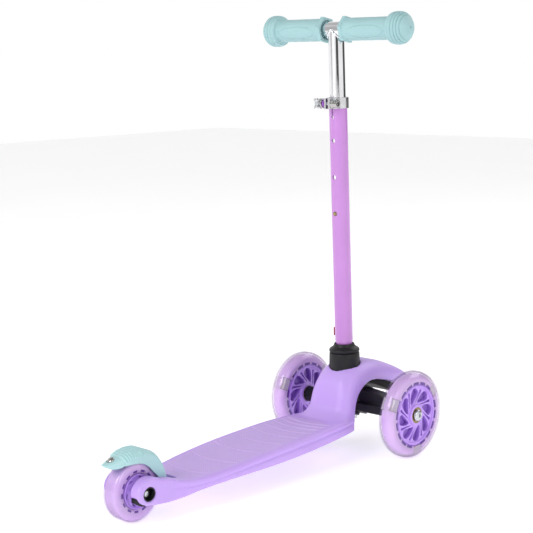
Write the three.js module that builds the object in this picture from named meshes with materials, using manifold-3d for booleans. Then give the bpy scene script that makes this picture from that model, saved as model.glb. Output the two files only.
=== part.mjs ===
// Toddler's three-wheeled kick scooter: lean-to-steer truck with two large front wheels, one small
// rear wheel under a foot brake, and a T-bar that telescopes in a clamped column.
// Millimetres. +X is the rider's right, +Y is forward, +Z is up, and the floor is z = 0.
// Inside the model, y = 0 is the front axle. One offset at the end centres the part on its box.
import * as THREE from "three";
import { mergeVertices } from "three/addons/utils/BufferGeometryUtils.js";
import Module from "manifold-3d";

const wasm = await Module();
wasm.setup();

// ---------------------------------------------------------------- driving dimensions

const GAP = 0.3; // running gap between neighbouring pieces
const FRONT_AXLE_Y = 174.5; // front axle to the middle of the part's box
const WHEELBASE = 424;
const TRACK = 196;
const WHEEL_WIDTH = 24;
const FRONT_WHEEL_R = 60;
const REAR_WHEEL_R = 38;
const FRONT_RIM_R = 43;
const REAR_RIM_R = 21.6;
const RIM_WIDTH = 20;

const BEARING = { outer: 11, bore: 4.3, width: 7 };
const AXLE_R = 4;
const HUB_HALF = WHEEL_WIDTH / 2 - 0.1; // outer faces of the bearings

const NECK_FRONT_Y = -45; // front face of the deck, under the neck
const FORK_SLOT_Y = -365; // front end of the slot between the two fork arms
const FORK_OUTER_X = 32;
const FORK_INNER_X = 17;
const DECK_SKIN = 4; // thickness of the deck's top skin
const RIB = 3.5; // thickness of the ribs under the deck
const RIB_PITCH = 40;

const COLUMN_RAKE = THREE.MathUtils.degToRad(1.5);
const COLUMN_FOOT = { y: -21.7, z: 148.8 }; // where the painted tube enters the collar cap
const COLUMN_TOP = 342.5; // along the column, from its foot
const COLUMN_R = 12.5;
const COLUMN_BORE_R = 11.3;
const COLUMN_PLUG_DEPTH = 48; // swaged end inside the neck
const POST_R = 11;
const POST_BORE_R = 9.5;
const POST_BOTTOM = 148;
const BAR_HEIGHT = 433.4; // centre of the cross tube above the column's foot
const BUTTON_HEIGHT = 185;
const HEIGHT_PITCH = 50; // spacing of the height holes
const HEIGHT_STEPS = 3;
const BUTTON_R = 2.9;

const GRIP_END_X = 125;
const GRIP_START_X = 16;
const GRIP_R = 15.25;
const GRIP_BULB_R = 21.7;
const HEX_FLANGE_R = 18.7;
const HEX_FLANGE_TURN = THREE.MathUtils.degToRad(17.5);

const CLAMP = { bottom: 328.5, height: 14.5, outer: 14.9, boltY: -19.6 };

const KING_ANGLE = THREE.MathUtils.degToRad(66.5); // king bolt above the horizontal, rising forward
const KING_FACE = 32.2; // seat of the arch block, along the king bolt from the front axle
const TRUCK_FACE = 27.2; // top of the truck, along the king bolt
const TRUCK_BOTTOM = -11; // underside of the truck's hub, along the king bolt
const BUSHING_END = -15.5; // far side of the lower bushing, along the king bolt
const KING_R = 4.5;

const BRAKE_HALF = 15.3;
const BRAKE_PIN = { y: -372, z: 33.5, r: 2.4 };
const BRAKE_CLEARANCE = 4.5; // brake to tyre at rest

const FINISH = {
  lavender: { color: 0xc9a4f4, roughness: 0.42, metalness: 0 },
  orchid: { color: 0xd59be6, roughness: 0.22, metalness: 0 },
  mint: { color: 0xb6e2e3, roughness: 0.6, metalness: 0 },
  black: { color: 0x26262a, roughness: 0.5, metalness: 0 },
  chrome: { color: 0xe6e6e8, roughness: 0.08, metalness: 1 },
  steel: { color: 0xb0b2b5, roughness: 0.35, metalness: 1 },
  brass: { color: 0xb98a4a, roughness: 0.3, metalness: 1 },
  milky: { color: 0xdfc9f2, roughness: 0.15, metalness: 0 },
  violet: { color: 0xb48be8, roughness: 0.35, metalness: 0 },
  clear: { color: 0xe9e4f2, roughness: 0.1, metalness: 0 },
  amber: { color: 0xc9a070, roughness: 0.5, metalness: 0 },
  coral: { color: 0xf07862, roughness: 0.5, metalness: 0 },
};

// ---------------------------------------------------------------- solids

function toSolid(geometry) {
  const bare = geometry.clone();
  bare.deleteAttribute("normal");
  bare.deleteAttribute("uv");
  const merged = mergeVertices(bare, 1e-4);
  return new wasm.Manifold(
    new wasm.Mesh({
      numProp: 3,
      vertProperties: merged.attributes.position.array,
      triVerts: new Uint32Array(merged.index.array),
    }),
  );
}

function toGeometry(solid) {
  const { vertProperties, triVerts } = solid.getMesh();
  const geometry = new THREE.BufferGeometry();
  geometry.setAttribute("position", new THREE.BufferAttribute(vertProperties, 3));
  geometry.setIndex(new THREE.BufferAttribute(triVerts, 1));
  geometry.computeVertexNormals();
  return geometry;
}

function join(...geometries) {
  return toGeometry(geometries.map(toSolid).reduce((sum, solid) => sum.add(solid)));
}

function cut(geometry, ...tools) {
  return toGeometry(tools.map(toSolid).reduce((rest, tool) => rest.subtract(tool), toSolid(geometry)));
}

// A solid of revolution about +Z from [radius, height] points. A ring's points close on themselves.
function revolve(points, segments = 24) {
  const area = points.reduce((sum, [r, h], i) => {
    const [r2, h2] = points[(i + 1) % points.length];
    return sum + r * h2 - r2 * h;
  }, 0);
  const ordered = area > 0 ? [...points] : [...points].reverse();
  if (points.every(([r]) => r > 0)) ordered.push(ordered[0]);
  const profile = ordered.map(([r, h]) => new THREE.Vector2(r, h));
  return new THREE.LatheGeometry(profile, segments).rotateX(Math.PI / 2);
}

const rod = (radius, from, to, segments = 20) =>
  revolve([[0, from], [radius, from], [radius, to], [0, to]], segments);

const ring = (inner, outer, from, to, segments = 20) =>
  revolve([[outer, from], [outer, to], [inner, to], [inner, from]], segments);

const hexRod = (radius, from, to) => rod(radius, from, to, 6);

function block(x0, x1, y0, y1, z0, z1) {
  const box = new THREE.BoxGeometry(x1 - x0, y1 - y0, z1 - z0);
  return box.translate((x0 + x1) / 2, (y0 + y1) / 2, (z0 + z1) / 2);
}

function plate(shape, depth, curveSegments = 12) {
  return new THREE.ExtrudeGeometry(shape, { depth, bevelEnabled: false, curveSegments });
}

// A plate with its long edges rounded, kept inside the same outline and depth.
function softPlate(shape, depth, edge) {
  return new THREE.ExtrudeGeometry(shape, {
    depth: depth - 2 * edge,
    bevelThickness: edge,
    bevelSize: edge,
    bevelOffset: -edge,
    bevelSegments: 3,
    curveSegments: 12,
  }).translate(0, 0, edge);
}

const outline = (points) => new THREE.Shape(points.map(([a, b]) => new THREE.Vector2(a, b)));

// Local x, y, z turn to world y, z, x: a side outline becomes a slab across the scooter, and a
// solid of revolution lies along an axle.
const ACROSS = new THREE.Matrix4().makeBasis(
  new THREE.Vector3(0, 1, 0),
  new THREE.Vector3(0, 0, 1),
  new THREE.Vector3(1, 0, 0),
);
const across = (geometry) => geometry.applyMatrix4(ACROSS);
const slab = (points, x0, x1) => across(plate(outline(points), x1 - x0)).translate(x0, 0, 0);

// Local +Z becomes the king bolt's axis through the front axle.
const alongKing = (geometry) =>
  geometry.rotateX(KING_ANGLE - Math.PI / 2).translate(0, 0, FRONT_WHEEL_R);

// Mirrors a solid to the other side of the scooter and turns its faces out again.
function mirrored(geometry) {
  const copy = geometry.clone().applyMatrix4(new THREE.Matrix4().makeScale(-1, 1, 1));
  const flat = copy.index ? copy.toNonIndexed() : copy;
  const p = flat.attributes.position;
  for (let i = 0; i < p.count; i += 3) {
    const second = [p.getX(i + 1), p.getY(i + 1), p.getZ(i + 1)];
    p.setXYZ(i + 1, p.getX(i + 2), p.getY(i + 2), p.getZ(i + 2));
    p.setXYZ(i + 2, ...second);
  }
  flat.computeVertexNormals();
  return flat;
}

// Closed body through rings of equal length, with a fan of triangles over each end.
function loft(rings) {
  const count = rings[0].length;
  const middle = (points) =>
    points.reduce((sum, p) => sum.add(p), new THREE.Vector3()).divideScalar(points.length);
  const vertices = [...rings.flat(), middle(rings[0]), middle(rings.at(-1))];
  const first = rings.length * count;
  const index = [];
  for (let i = 0; i < count; i++) {
    const next = (i + 1) % count;
    index.push(first, next, i);
    const top = (rings.length - 1) * count;
    index.push(first + 1, top + i, top + next);
    for (let row = 0; row < top; row += count) {
      index.push(row + i, row + next, row + count + i);
      index.push(row + next, row + count + next, row + count + i);
    }
  }
  const geometry = new THREE.BufferGeometry().setFromPoints(vertices);
  geometry.setIndex(index);
  geometry.computeVertexNormals();
  return toSolid(geometry).volume() < 0 ? flipped(geometry) : geometry;
}

function flipped(geometry) {
  const index = geometry.index.array;
  for (let i = 0; i < index.length; i += 3) [index[i], index[i + 1]] = [index[i + 1], index[i]];
  geometry.computeVertexNormals();
  return geometry;
}

// Section of a moulding: [x, v] points of a rectangle with round lower and upper corners.
function roundedSection(half, low, high, lowRadius, highRadius, steps = 4) {
  const corners = [
    [half - lowRadius, low + lowRadius, lowRadius, -90],
    [half - highRadius, high - highRadius, highRadius, 0],
    [highRadius - half, high - highRadius, highRadius, 90],
    [lowRadius - half, low + lowRadius, lowRadius, 180],
  ];
  return corners.flatMap(([x, v, radius, start]) =>
    Array.from({ length: steps + 1 }, (_, i) => {
      const angle = THREE.MathUtils.degToRad(start + (90 * i) / steps);
      return [x + radius * Math.cos(angle), v + radius * Math.sin(angle)];
    }),
  );
}

// Values between the rows of a table, on one smooth curve through them.
function smoothRows(rows, perSpan) {
  const lanes = rows[0].map(
    (_, k) => new THREE.SplineCurve(rows.map((row, i) => new THREE.Vector2(i, row[k]))),
  );
  const count = (rows.length - 1) * perSpan;
  return Array.from({ length: count + 1 }, (_, i) => lanes.map((lane) => lane.getPoint(i / count).y));
}

// ---------------------------------------------------------------- deck, neck, arch and rear fork

// Stations along the deck: y, half width, top, bottom.
const DECK_STATIONS = [
  [NECK_FRONT_Y, 37.5, 54, 34],
  [-70, 42.2, 54, 33.2],
  [-100, 46.9, 54.4, 33],
  [-140, 50.6, 53.8, 32],
  [-180, 51.5, 52.5, 30.6],
  [-220, 52, 50.8, 30],
  [-260, 51.5, 48.4, 30],
  [-300, 49.4, 45.5, 29.6],
  [-340, 44.6, 42.6, 27.4],
  [-364, 39, 43, 23.8],
  [-384, 33.4, 46.8, 20.8],
];

// Spine of the neck and arch, from inside the deck up and over to the nose:
// outer y, outer z, inner y, inner z, half width, radius of the outer corners.
const ARCH_STATIONS = [
  [-90, 50, -45, 34.5, 37.5, 12],
  [-76, 57.5, -43.5, 47, 37.5, 15],
  [-67.5, 65, -42, 58, 37, 19],
  [-63, 76, -39.5, 69, 36.5, 21],
  [-58.5, 90, -34.5, 80, 36, 24],
  [-51, 105.5, -25, 89, 35.2, 24],
  [-36, 119, -12, 95, 34.2, 22],
  [-13, 124.6, 0, 97, 33, 21],
  [13, 123.2, 15, 95.5, 31.5, 20],
  [38, 117, 32, 91.5, 29.8, 18],
  [62, 107.8, 51, 86, 27.5, 16],
  [88, 95.6, 73, 77.5, 24.5, 13],
  [107, 83.6, 93, 67.5, 20.5, 10],
  [117, 75, 105, 61, 15.5, 7.5],
  [120.4, 68.5, 113, 60.6, 9, 4.4],
];

const deckRows = smoothRows(DECK_STATIONS, 2);

function deckAt(y) {
  const i = Math.max(1, deckRows.findIndex((row) => row[0] <= y));
  const [before, after] = [deckRows[i - 1], deckRows[i]];
  const t = (y - before[0]) / (after[0] - before[0]);
  const [, half, top, bottom] = before.map((value, k) => THREE.MathUtils.lerp(value, after[k], t));
  return { half, top, bottom };
}

function deckPlank() {
  const TOP_EDGE_R = 6;
  const BOTTOM_EDGE_R = 2.5;
  return loft(
    deckRows.map(([y, half, top, bottom]) =>
      roundedSection(half, bottom, top, BOTTOM_EDGE_R, TOP_EDGE_R, 3).map(
        ([x, z]) => new THREE.Vector3(x, y, z),
      ),
    ),
  );
}

function neckAndArch() {
  const INNER_EDGE_R = 3.5;
  return loft(
    smoothRows(ARCH_STATIONS, 1).map(([outerY, outerZ, innerY, innerZ, half, radius]) => {
      const inner = new THREE.Vector3(0, innerY, innerZ);
      const up = new THREE.Vector3(0, outerY, outerZ).sub(inner);
      const depth = up.length();
      up.normalize();
      return roundedSection(half, 0, depth, Math.min(INNER_EDGE_R, radius / 2), radius).map(([x, v]) =>
        inner.clone().addScaledVector(up, v).setX(x),
      );
    }),
  );
}

// Side outline of a fork arm, from the deck back round the axle.
const FORK_ARM = [
  [-304, 33], [-325, 24.5], [-341, 22], [-363, 20.3], [-385, 20.1], [-406, 21.6], [-421, 24], [-430, 26.2],
  [-436.3, 29.2], [-440.5, 33.2], [-442.5, 38], [-442.4, 42], [-440.7, 46.6], [-437.7, 50.5],
  [-432.6, 54.4], [-426, 57.2], [-418.6, 57.9], [-411, 56], [-404, 53], [-397.8, 51.1], [-384, 48.3],
  [-360, 40],
];

function forkArm() {
  const EDGE_R = 2.2;
  const BURIED = 4; // runs on inside the wheel slot, which then trims it
  const width = FORK_OUTER_X - FORK_INNER_X + BURIED;
  return across(softPlate(outline(FORK_ARM), width, EDGE_R)).translate(FORK_OUTER_X - width, 0, 0);
}

const RECESS = { halfY: 9.8, halfZ: 9, floorX: 20.5, rise: 0.6 };

function ovalRod(halfY, halfZ, x0, x1) {
  return across(rod(1, 0, 1, 20).scale(halfY, halfZ, x1 - x0))
    .translate(x0, -WHEELBASE, REAR_WHEEL_R + RECESS.rise);
}

// Open cells between the ribs under the deck.
function deckCells() {
  const cells = [];
  const CENTRE_RIB_HALF = 2;
  const SIDE_WALL = 6;
  const FIRST_Y = -107;
  const LAST_Y = -320;
  for (let y = FIRST_Y; y - RIB_PITCH > LAST_Y; y -= RIB_PITCH) {
    const ends = [deckAt(y), deckAt(y - RIB_PITCH + RIB)];
    const half = Math.min(...ends.map((end) => end.half)) - SIDE_WALL;
    const top = Math.min(...ends.map((end) => end.top)) - DECK_SKIN;
    const cell = block(CENTRE_RIB_HALF, half, y - RIB_PITCH + RIB, y, 0, top);
    cells.push(cell, mirrored(cell));
  }
  return cells;
}

const alongColumn = (geometry) =>
  geometry.rotateX(COLUMN_RAKE).translate(0, COLUMN_FOOT.y, COLUMN_FOOT.z);

const COLLAR = { seat: -38, outer: 21.6, sleeve: 13.3, joint: -10.5 };
const KING_HOLE_TOP = 52;

function deckBody() {
  const rightArm = forkArm();
  const recess = ovalRod(RECESS.halfY, RECESS.halfZ, RECESS.floorX, FORK_OUTER_X + 5);
  const collarSeat = alongColumn(rod(COLLAR.outer + GAP, COLLAR.seat, 40, 28));
  const socketBore = alongColumn(rod(COLLAR.sleeve, -50.5, 0, 20));
  const kingHole = alongKing(rod(KING_R + GAP, 20, KING_HOLE_TOP, 20));
  const axleHole = across(rod(AXLE_R + GAP, -40, 40, 20)).translate(0, -WHEELBASE, REAR_WHEEL_R);
  const pinHole = across(rod(BRAKE_PIN.r + GAP, -23, 23, 16)).translate(0, BRAKE_PIN.y, BRAKE_PIN.z);
  const wheelSlot = block(-FORK_INNER_X, FORK_INNER_X, -480, FORK_SLOT_Y, 0, 100);
  const body = join(deckPlank(), neckAndArch(), rightArm, mirrored(rightArm));
  return cut(
    body,
    ...deckCells(),
    wheelSlot,
    recess,
    mirrored(recess),
    collarSeat,
    socketBore,
    kingHole,
    axleHole,
    pinHole,
  );
}

// Black block under the arch whose slanting lower face is square to the king bolt.
function archBlock() {
  const HALF = 24;
  const REAR_Y = 3;
  const FRONT_Y = 64;
  const faceZ = (y) => FRONT_WHEEL_R + KING_FACE / Math.sin(KING_ANGLE) - y / Math.tan(KING_ANGLE);
  const side = [
    [REAR_Y, faceZ(REAR_Y)], [FRONT_Y, faceZ(FRONT_Y)], [FRONT_Y, 79.8], [51, 85.3], [32, 90.8], [15, 94.9],
    [REAR_Y, 96.2],
  ];
  return cut(slab(side, -HALF, HALF), alongKing(rod(KING_R + GAP, 20, KING_HOLE_TOP, 20)));
}

// ---------------------------------------------------------------- collar, column and clamp

function collarBase() {
  const { seat, outer, sleeve, joint } = COLLAR;
  return alongColumn(
    revolve([[sleeve + GAP, seat + GAP], [outer, seat + GAP], [outer - 0.8, joint - 4], [outer - 0.8, joint],
      [sleeve + GAP, joint]], 28),
  );
}

function collarCap() {
  const { outer, sleeve, joint } = COLLAR;
  return alongColumn(
    revolve([[sleeve + GAP, joint + GAP], [outer - 1.2, joint + GAP], [outer - 1, joint + 2.5],
      [outer - 3.6, joint + 5.6], [14.6, joint + 8.4], [13.3, joint + 12.3], [12.8, joint + 12.3],
      [12.8, joint + 10.9], [sleeve + GAP, joint + 9.4]], 28),
  );
}

function columnSocket() {
  return alongColumn(ring(11.3, COLLAR.sleeve - GAP, -50, -5.2, 20));
}

// Painted tube, swaged to a smaller plug at its foot, slotted at the top and drilled at the back.
function columnTube() {
  const PLUG_R = 11;
  const PLUG_BORE_R = 9.8;
  const SLOT_END = 317;
  const SLOT_HALF = 1.2;
  const tube = revolve([
    [PLUG_BORE_R, -COLUMN_PLUG_DEPTH], [PLUG_R, -COLUMN_PLUG_DEPTH], [PLUG_R, 0.4], [COLUMN_R - 0.6, 3.2],
    [COLUMN_R, 6.4], [COLUMN_R, COLUMN_TOP], [COLUMN_BORE_R, COLUMN_TOP], [COLUMN_BORE_R, 8.4],
    [PLUG_BORE_R, 4],
  ], 28);
  const rearDrill = (radius, height) =>
    rod(radius, 5, 20, 16).rotateX(Math.PI / 2).translate(0, 0, height);
  const holes = Array.from({ length: HEIGHT_STEPS }, (_, i) =>
    rearDrill(BUTTON_R + GAP, BUTTON_HEIGHT + i * HEIGHT_PITCH),
  );
  const slot = block(-SLOT_HALF, SLOT_HALF, -20, -5, SLOT_END, COLUMN_TOP + 5);
  return alongColumn(cut(tube, ...holes, rearDrill(2.2, SLOT_END), slot));
}

const CLAMP_EAR = { near: 1.7, far: 5, tipY: -24.2 };
const CLAMP_BOLT_Z = CLAMP.bottom + CLAMP.height / 2;
const onClampBolt = (geometry) => alongColumn(across(geometry).translate(0, CLAMP.boltY, CLAMP_BOLT_Z));

function clampRing() {
  const { bottom, height, outer, boltY } = CLAMP;
  const band = ring(COLUMN_R + GAP, outer, bottom, bottom + height, 28);
  const { near, far, tipY } = CLAMP_EAR;
  const ear = block(near, far, tipY, -12.9, bottom, bottom + height);
  const split = block(-near, near, -30, -9, bottom - 1, bottom + height + 1);
  const bore = rod(COLUMN_R + GAP, bottom - 1, bottom + height + 1, 28);
  const boltHole = across(rod(2.9, -30, 30, 16)).translate(0, boltY, CLAMP_BOLT_Z);
  return alongColumn(cut(join(band, ear, mirrored(ear)), split, bore, boltHole));
}

const CLAMP_STACK = { nut: 16.5, washer: -7.9, saddle: -12.8, pin: -19.1 };

function clampBolt() {
  const eye = rod(4.2, -2.6, 2.6, 20).translate(CLAMP_STACK.pin, CLAMP.boltY, CLAMP_BOLT_Z);
  const shank = across(rod(2.5, CLAMP_STACK.pin, 12.2, 16)).translate(0, CLAMP.boltY, CLAMP_BOLT_Z);
  const pinHole = rod(1.9, -8, 8, 16).translate(CLAMP_STACK.pin, CLAMP.boltY, CLAMP_BOLT_Z);
  return alongColumn(cut(join(eye, shank), pinHole));
}

function clampNut() {
  const body = rod(5.3, CLAMP_EAR.far + GAP, CLAMP_STACK.nut, 24);
  return onClampBolt(cut(body, rod(2.8, 0, 12.6, 16), hexRod(3.1, 12.5, 30)));
}

function clampWasher() {
  return onClampBolt(ring(2.8, 5.3, CLAMP_STACK.washer, -CLAMP_EAR.far - GAP, 24));
}

function clampSaddle() {
  const { washer, saddle } = CLAMP_STACK;
  return onClampBolt(
    revolve(
      [[2.8, saddle], [5, saddle], [6.4, washer - 2.4], [6.4, washer - GAP], [2.8, washer - GAP]],
      24,
    ),
  );
}

// Cam head in two cheeks round the barrel pin, and an arm that lies forward along the column.
function quickReleaseLever() {
  const CHEEK_IN = 3;
  const CHEEK_OUT = 7;
  const { pin } = CLAMP_STACK;
  const cam = (z0, z1) => rod(5.6, z0, z1, 24).translate(pin, CLAMP.boltY, CLAMP_BOLT_Z);
  const arm = outline([
    [pin - 5.4, CLAMP.boltY - 1], [pin - 1, CLAMP.boltY + 6], [pin + 1.8, CLAMP.boltY + 22],
    [pin + 1.2, CLAMP.boltY + 42], [pin - 0.4, CLAMP.boltY + 52], [pin - 2.6, CLAMP.boltY + 52.6],
    [pin - 3.4, CLAMP.boltY + 42], [pin - 3, CLAMP.boltY + 22], [pin - 5.6, CLAMP.boltY + 7],
  ]);
  const blade = plate(arm, 2 * CHEEK_OUT - 2).translate(0, 0, CLAMP_BOLT_Z - CHEEK_OUT + 1);
  const fork = block(pin - 12, pin + 12, CLAMP.boltY - 12, CLAMP.boltY + 5.4, -CHEEK_IN, CHEEK_IN)
    .translate(0, 0, CLAMP_BOLT_Z);
  const pinHole = rod(1.9, -20, 20, 16).translate(pin, CLAMP.boltY, CLAMP_BOLT_Z);
  return alongColumn(cut(join(cam(-CHEEK_OUT, CHEEK_OUT), blade), fork, pinHole));
}

function leverPin() {
  return alongColumn(rod(1.6, -6.8, 6.8, 16).translate(CLAMP_STACK.pin, CLAMP.boltY, CLAMP_BOLT_Z));
}

function columnTag() {
  const x = -COLUMN_R - GAP;
  return alongColumn(block(x - 1.1, x, -6, 6, 11.5, 23.5));
}

// ---------------------------------------------------------------- handlebar

function handlebarTube() {
  const CROSS_HALF = 112;
  const post = rod(POST_R, POST_BOTTOM, BAR_HEIGHT, 24);
  const cross = across(rod(POST_R, -CROSS_HALF, CROSS_HALF, 24)).translate(0, 0, BAR_HEIGHT);
  const postBore = rod(POST_BORE_R, POST_BOTTOM - 5, BAR_HEIGHT, 20);
  const crossBore = across(rod(POST_BORE_R, -150, 150, 20)).translate(0, 0, BAR_HEIGHT);
  const buttonHole = rod(BUTTON_R + GAP, 4, 20, 16).rotateX(Math.PI / 2).translate(0, 0, BUTTON_HEIGHT);
  return alongColumn(cut(join(post, cross), postBore, crossBore, buttonHole));
}

// radius and distance from the middle of the bar, round the mushroom end of a grip
const GRIP_BULB = [
  [15.25, 94.4],
  [17, 95.3],
  [19.6, 96.6],
  [21, 100],
  [GRIP_BULB_R, 106],
  [20.4, 112.5],
  [16.8, 118],
  [10, 122.6],
  [0, GRIP_END_X],
];

function grip(side) {
  const bulb = new THREE.SplineCurve(
    GRIP_BULB.map(([r, x]) => new THREE.Vector2(r, x)),
  ).getPoints(12);
  const skin = bulb.map((p) => [Math.min(p.x, GRIP_BULB_R), p.y]);
  skin.at(-1)[0] = 0;
  const body = revolve([[0, GRIP_START_X + 1], [GRIP_R, GRIP_START_X + 1], ...skin], 24);
  const flange = hexRod(HEX_FLANGE_R, GRIP_START_X, GRIP_START_X + 5.6).rotateZ(HEX_FLANGE_TURN);
  const bore = rod(POST_R + GAP, 0, 112.5, 24);
  const recess = rod(13.4, 0, GRIP_START_X + 3, 20);
  const vent = rod(1, 100, GRIP_END_X + 5, 6);
  const made = across(cut(join(body, flange), bore, recess, vent));
  return alongColumn((side > 0 ? made : mirrored(made)).translate(0, 0, BAR_HEIGHT));
}

function detentButton() {
  return alongColumn(
    revolve([[0, 7.3], [4.1, 7.3], [4.1, 8.1], [BUTTON_R, 8.1], [BUTTON_R, 13], [2.2, 14.1], [0, 14.6]], 20)
      .rotateX(Math.PI / 2)
      .translate(0, 0, BUTTON_HEIGHT),
  );
}

// V-shaped leaf that pushes the button out through both tubes.
function buttonSpring() {
  const T = 0.7;
  const z = BUTTON_HEIGHT;
  const leaf = [
    [-7, z + 6], [-7, z - 8], [-1, z - 33], [1.4, z - 33], [8.6, z - 8], [8.6, z + 4],
    [8.6 - T, z + 4], [8.6 - T, z - 8], [0.9, z - 33 + T], [-0.5, z - 33 + T], [-7 + T, z - 8],
    [-7 + T, z + 6],
  ];
  return alongColumn(slab(leaf, -3, 3));
}

// ---------------------------------------------------------------- truck and king bolt

function truckBeam() {
  const ARM_HALF_Y = 16;
  const FIN_HALF_Y = 9;
  const boss = (x0, x1) => across(rod(11, x0, x1, 20)).translate(0, 0, FRONT_WHEEL_R);
  const hub = alongKing(rod(21, TRUCK_BOTTOM, TRUCK_FACE, 24));
  const armOutline = outline([[-66, 54], [66, 54], [70, 55.5], [70, 64], [62, 66.5], [-62, 66.5], [-70, 64],
    [-70, 55.5]]);
  const arms = plate(armOutline, 2 * ARM_HALF_Y).rotateX(Math.PI / 2).translate(0, ARM_HALF_Y, 0);
  const finOutline = outline([[-74, 56], [74, 56], [74, 69], [66, 74], [50, 81.5], [16, 85.2], [-16, 85.2],
    [-50, 81.5], [-66, 74], [-74, 69]]);
  const fin = plate(finOutline, 2 * FIN_HALF_Y).rotateX(Math.PI / 2).translate(0, FIN_HALF_Y, 0);
  const bossEnd = TRACK / 2 - WHEEL_WIDTH / 2 - 0.2;
  const bored = [
    alongKing(rod(KING_R + GAP, -60, 80, 20)),
    alongKing(rod(60, TRUCK_FACE, TRUCK_FACE + 40, 12)),
    across(rod(AXLE_R + GAP, 39, 100, 20)).translate(0, 0, FRONT_WHEEL_R),
    across(rod(AXLE_R + GAP, -100, -39, 20)).translate(0, 0, FRONT_WHEEL_R),
  ];
  return cut(join(hub, arms, fin, boss(-bossEnd, -55), boss(55, bossEnd)), ...bored);
}

const leanBushing = (from, to, radius) => alongKing(ring(KING_R + GAP, radius, from, to, 24));

function kingBolt() {
  const head = hexRod(8.6, BUSHING_END - GAP - 5, BUSHING_END - GAP);
  return alongKing(join(rod(KING_R, BUSHING_END - 1, KING_HOLE_TOP - 1, 20), head));
}

// ---------------------------------------------------------------- wheels

function tyre(radius, rimRadius, modules, segments) {
  const half = WHEEL_WIDTH / 2;
  const section = [
    [rimRadius + GAP, half - 1.6], [(radius + rimRadius) / 2, half], [radius - 4.4, half - 1.2],
    [radius - 1.3, half - 4.4], [radius, half - 8.4],
  ];
  const back = section.map(([r, x]) => [r, -x]).reverse();
  const body = revolve([...section, ...back], segments);
  return modules.length ? cut(body, ...modules) : body;
}

// Hole between two spokes: a leaf that leans round as it runs from the hub out to the rim.
function spokeHole(inner, outer, width, lean, start) {
  const STEPS = 5;
  const side = (sign) =>
    Array.from({ length: STEPS + 1 }, (_, i) => {
      const t = i / STEPS;
      const r = inner + (outer - inner) * t;
      const halfWidth = (sign * width * Math.sin(Math.PI * t ** 1.7)) / r;
      const angle = start + lean * t + halfWidth;
      return new THREE.Vector2(r * Math.cos(angle), r * Math.sin(angle));
    });
  const left = side(-1);
  const right = side(1).slice(1, -1).reverse();
  return new THREE.Path([...left, ...right]);
}

function wheelCore(rimRadius, holes, segments) {
  const face = new THREE.Shape().absarc(0, 0, rimRadius, 0, 2 * Math.PI);
  for (let i = 0; i < holes.count; i++) {
    const turn = (2 * Math.PI * i) / holes.count;
    face.holes.push(spokeHole(holes.inner, holes.outer, holes.width, holes.lean, turn));
  }
  const disc = plate(face, RIM_WIDTH, segments / 2).translate(0, 0, -RIM_WIDTH / 2);
  const hub = rod(14.6, -HUB_HALF, HUB_HALF, 20);
  return cut(join(disc, hub), rod(BEARING.outer + 0.15, -20, 20, 20));
}

const FRONT_HOLES = { count: 8, inner: 17.2, outer: 39.6, width: 7.6, lean: 0.62 };
const REAR_HOLES = { count: 6, inner: 14.9, outer: 19.9, width: 3, lean: 0.2 };

function ledModule(angle) {
  return block(-8.5, 8.5, 3.4, 11.4, -7, 7).translate(0, FRONT_RIM_R - 2.6, 0).rotateZ(angle);
}

function ledPocket(angle) {
  return block(-8.8, 8.8, -4, 11.7, -7.3, 7.3).translate(0, FRONT_RIM_R - 2.6, 0).rotateZ(angle);
}

const LED_ANGLES = [0.6, 0.6 + (2 * Math.PI) / 3, 0.6 + (4 * Math.PI) / 3];

const bearing = (centre) =>
  ring(BEARING.bore, BEARING.outer, centre - BEARING.width / 2, centre + BEARING.width / 2, 20);

function wheelPieces(name, front) {
  const radius = front ? FRONT_WHEEL_R : REAR_WHEEL_R;
  const rimRadius = front ? FRONT_RIM_R : REAR_RIM_R;
  const pockets = front ? LED_ANGLES.map(ledPocket) : [];
  const bearingCentre = HUB_HALF - BEARING.width / 2;
  const spacerHalf = HUB_HALF - BEARING.width - GAP;
  const pieces = [
    [`${name}_tyre`, tyre(radius, rimRadius, pockets, front ? 40 : 32), "milky"],
    [`${name}_core`, wheelCore(rimRadius, front ? FRONT_HOLES : REAR_HOLES, front ? 36 : 28), "violet"],
    [`${name}_bearing_left`, bearing(-bearingCentre), "brass"],
    [`${name}_bearing_right`, bearing(bearingCentre), "brass"],
    [`${name}_bearing_spacer`, ring(BEARING.bore, 6, -spacerHalf, spacerHalf, 16), "steel"],
  ];
  if (front) {
    LED_ANGLES.forEach((angle, i) => pieces.push([`${name}_light_${i + 1}`, ledModule(angle), "clear"]));
  }
  return pieces;
}

// Domed bolt from the outside of a wheel into the truck, drawn for the right wheel.
function frontAxleBolt() {
  const face = TRACK / 2 + HUB_HALF + GAP;
  const body = revolve(
    [[0, 40], [AXLE_R, 40], [AXLE_R, face], [8, face], [8, face + 1.6], [6.4, face + 3.4], [3.6, face + 4.4],
      [0, face + 4.6]],
    24,
  );
  return across(cut(body, hexRod(2.6, face + 1.6, face + 10))).translate(0, 0, FRONT_WHEEL_R);
}

// ---------------------------------------------------------------- rear axle and brake

const onRearAxle = (geometry) => across(geometry).translate(0, -WHEELBASE, REAR_WHEEL_R);

const REAR_STACK = { insert: RECESS.floorX + GAP, floor: 1.2, head: 2.4 };
const REAR_HEAD_X = REAR_STACK.insert + REAR_STACK.floor + GAP;

function forkInsert() {
  const { insert, floor } = REAR_STACK;
  const cup = ovalRod(RECESS.halfY - GAP, RECESS.halfZ - GAP, insert, FORK_OUTER_X - 1);
  const inside = ovalRod(RECESS.halfY - 1.6, RECESS.halfZ - 1.5, insert + floor, FORK_OUTER_X + 5);
  return cut(cup, inside, onRearAxle(rod(AXLE_R + GAP, 0, 50, 20)));
}

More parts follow.
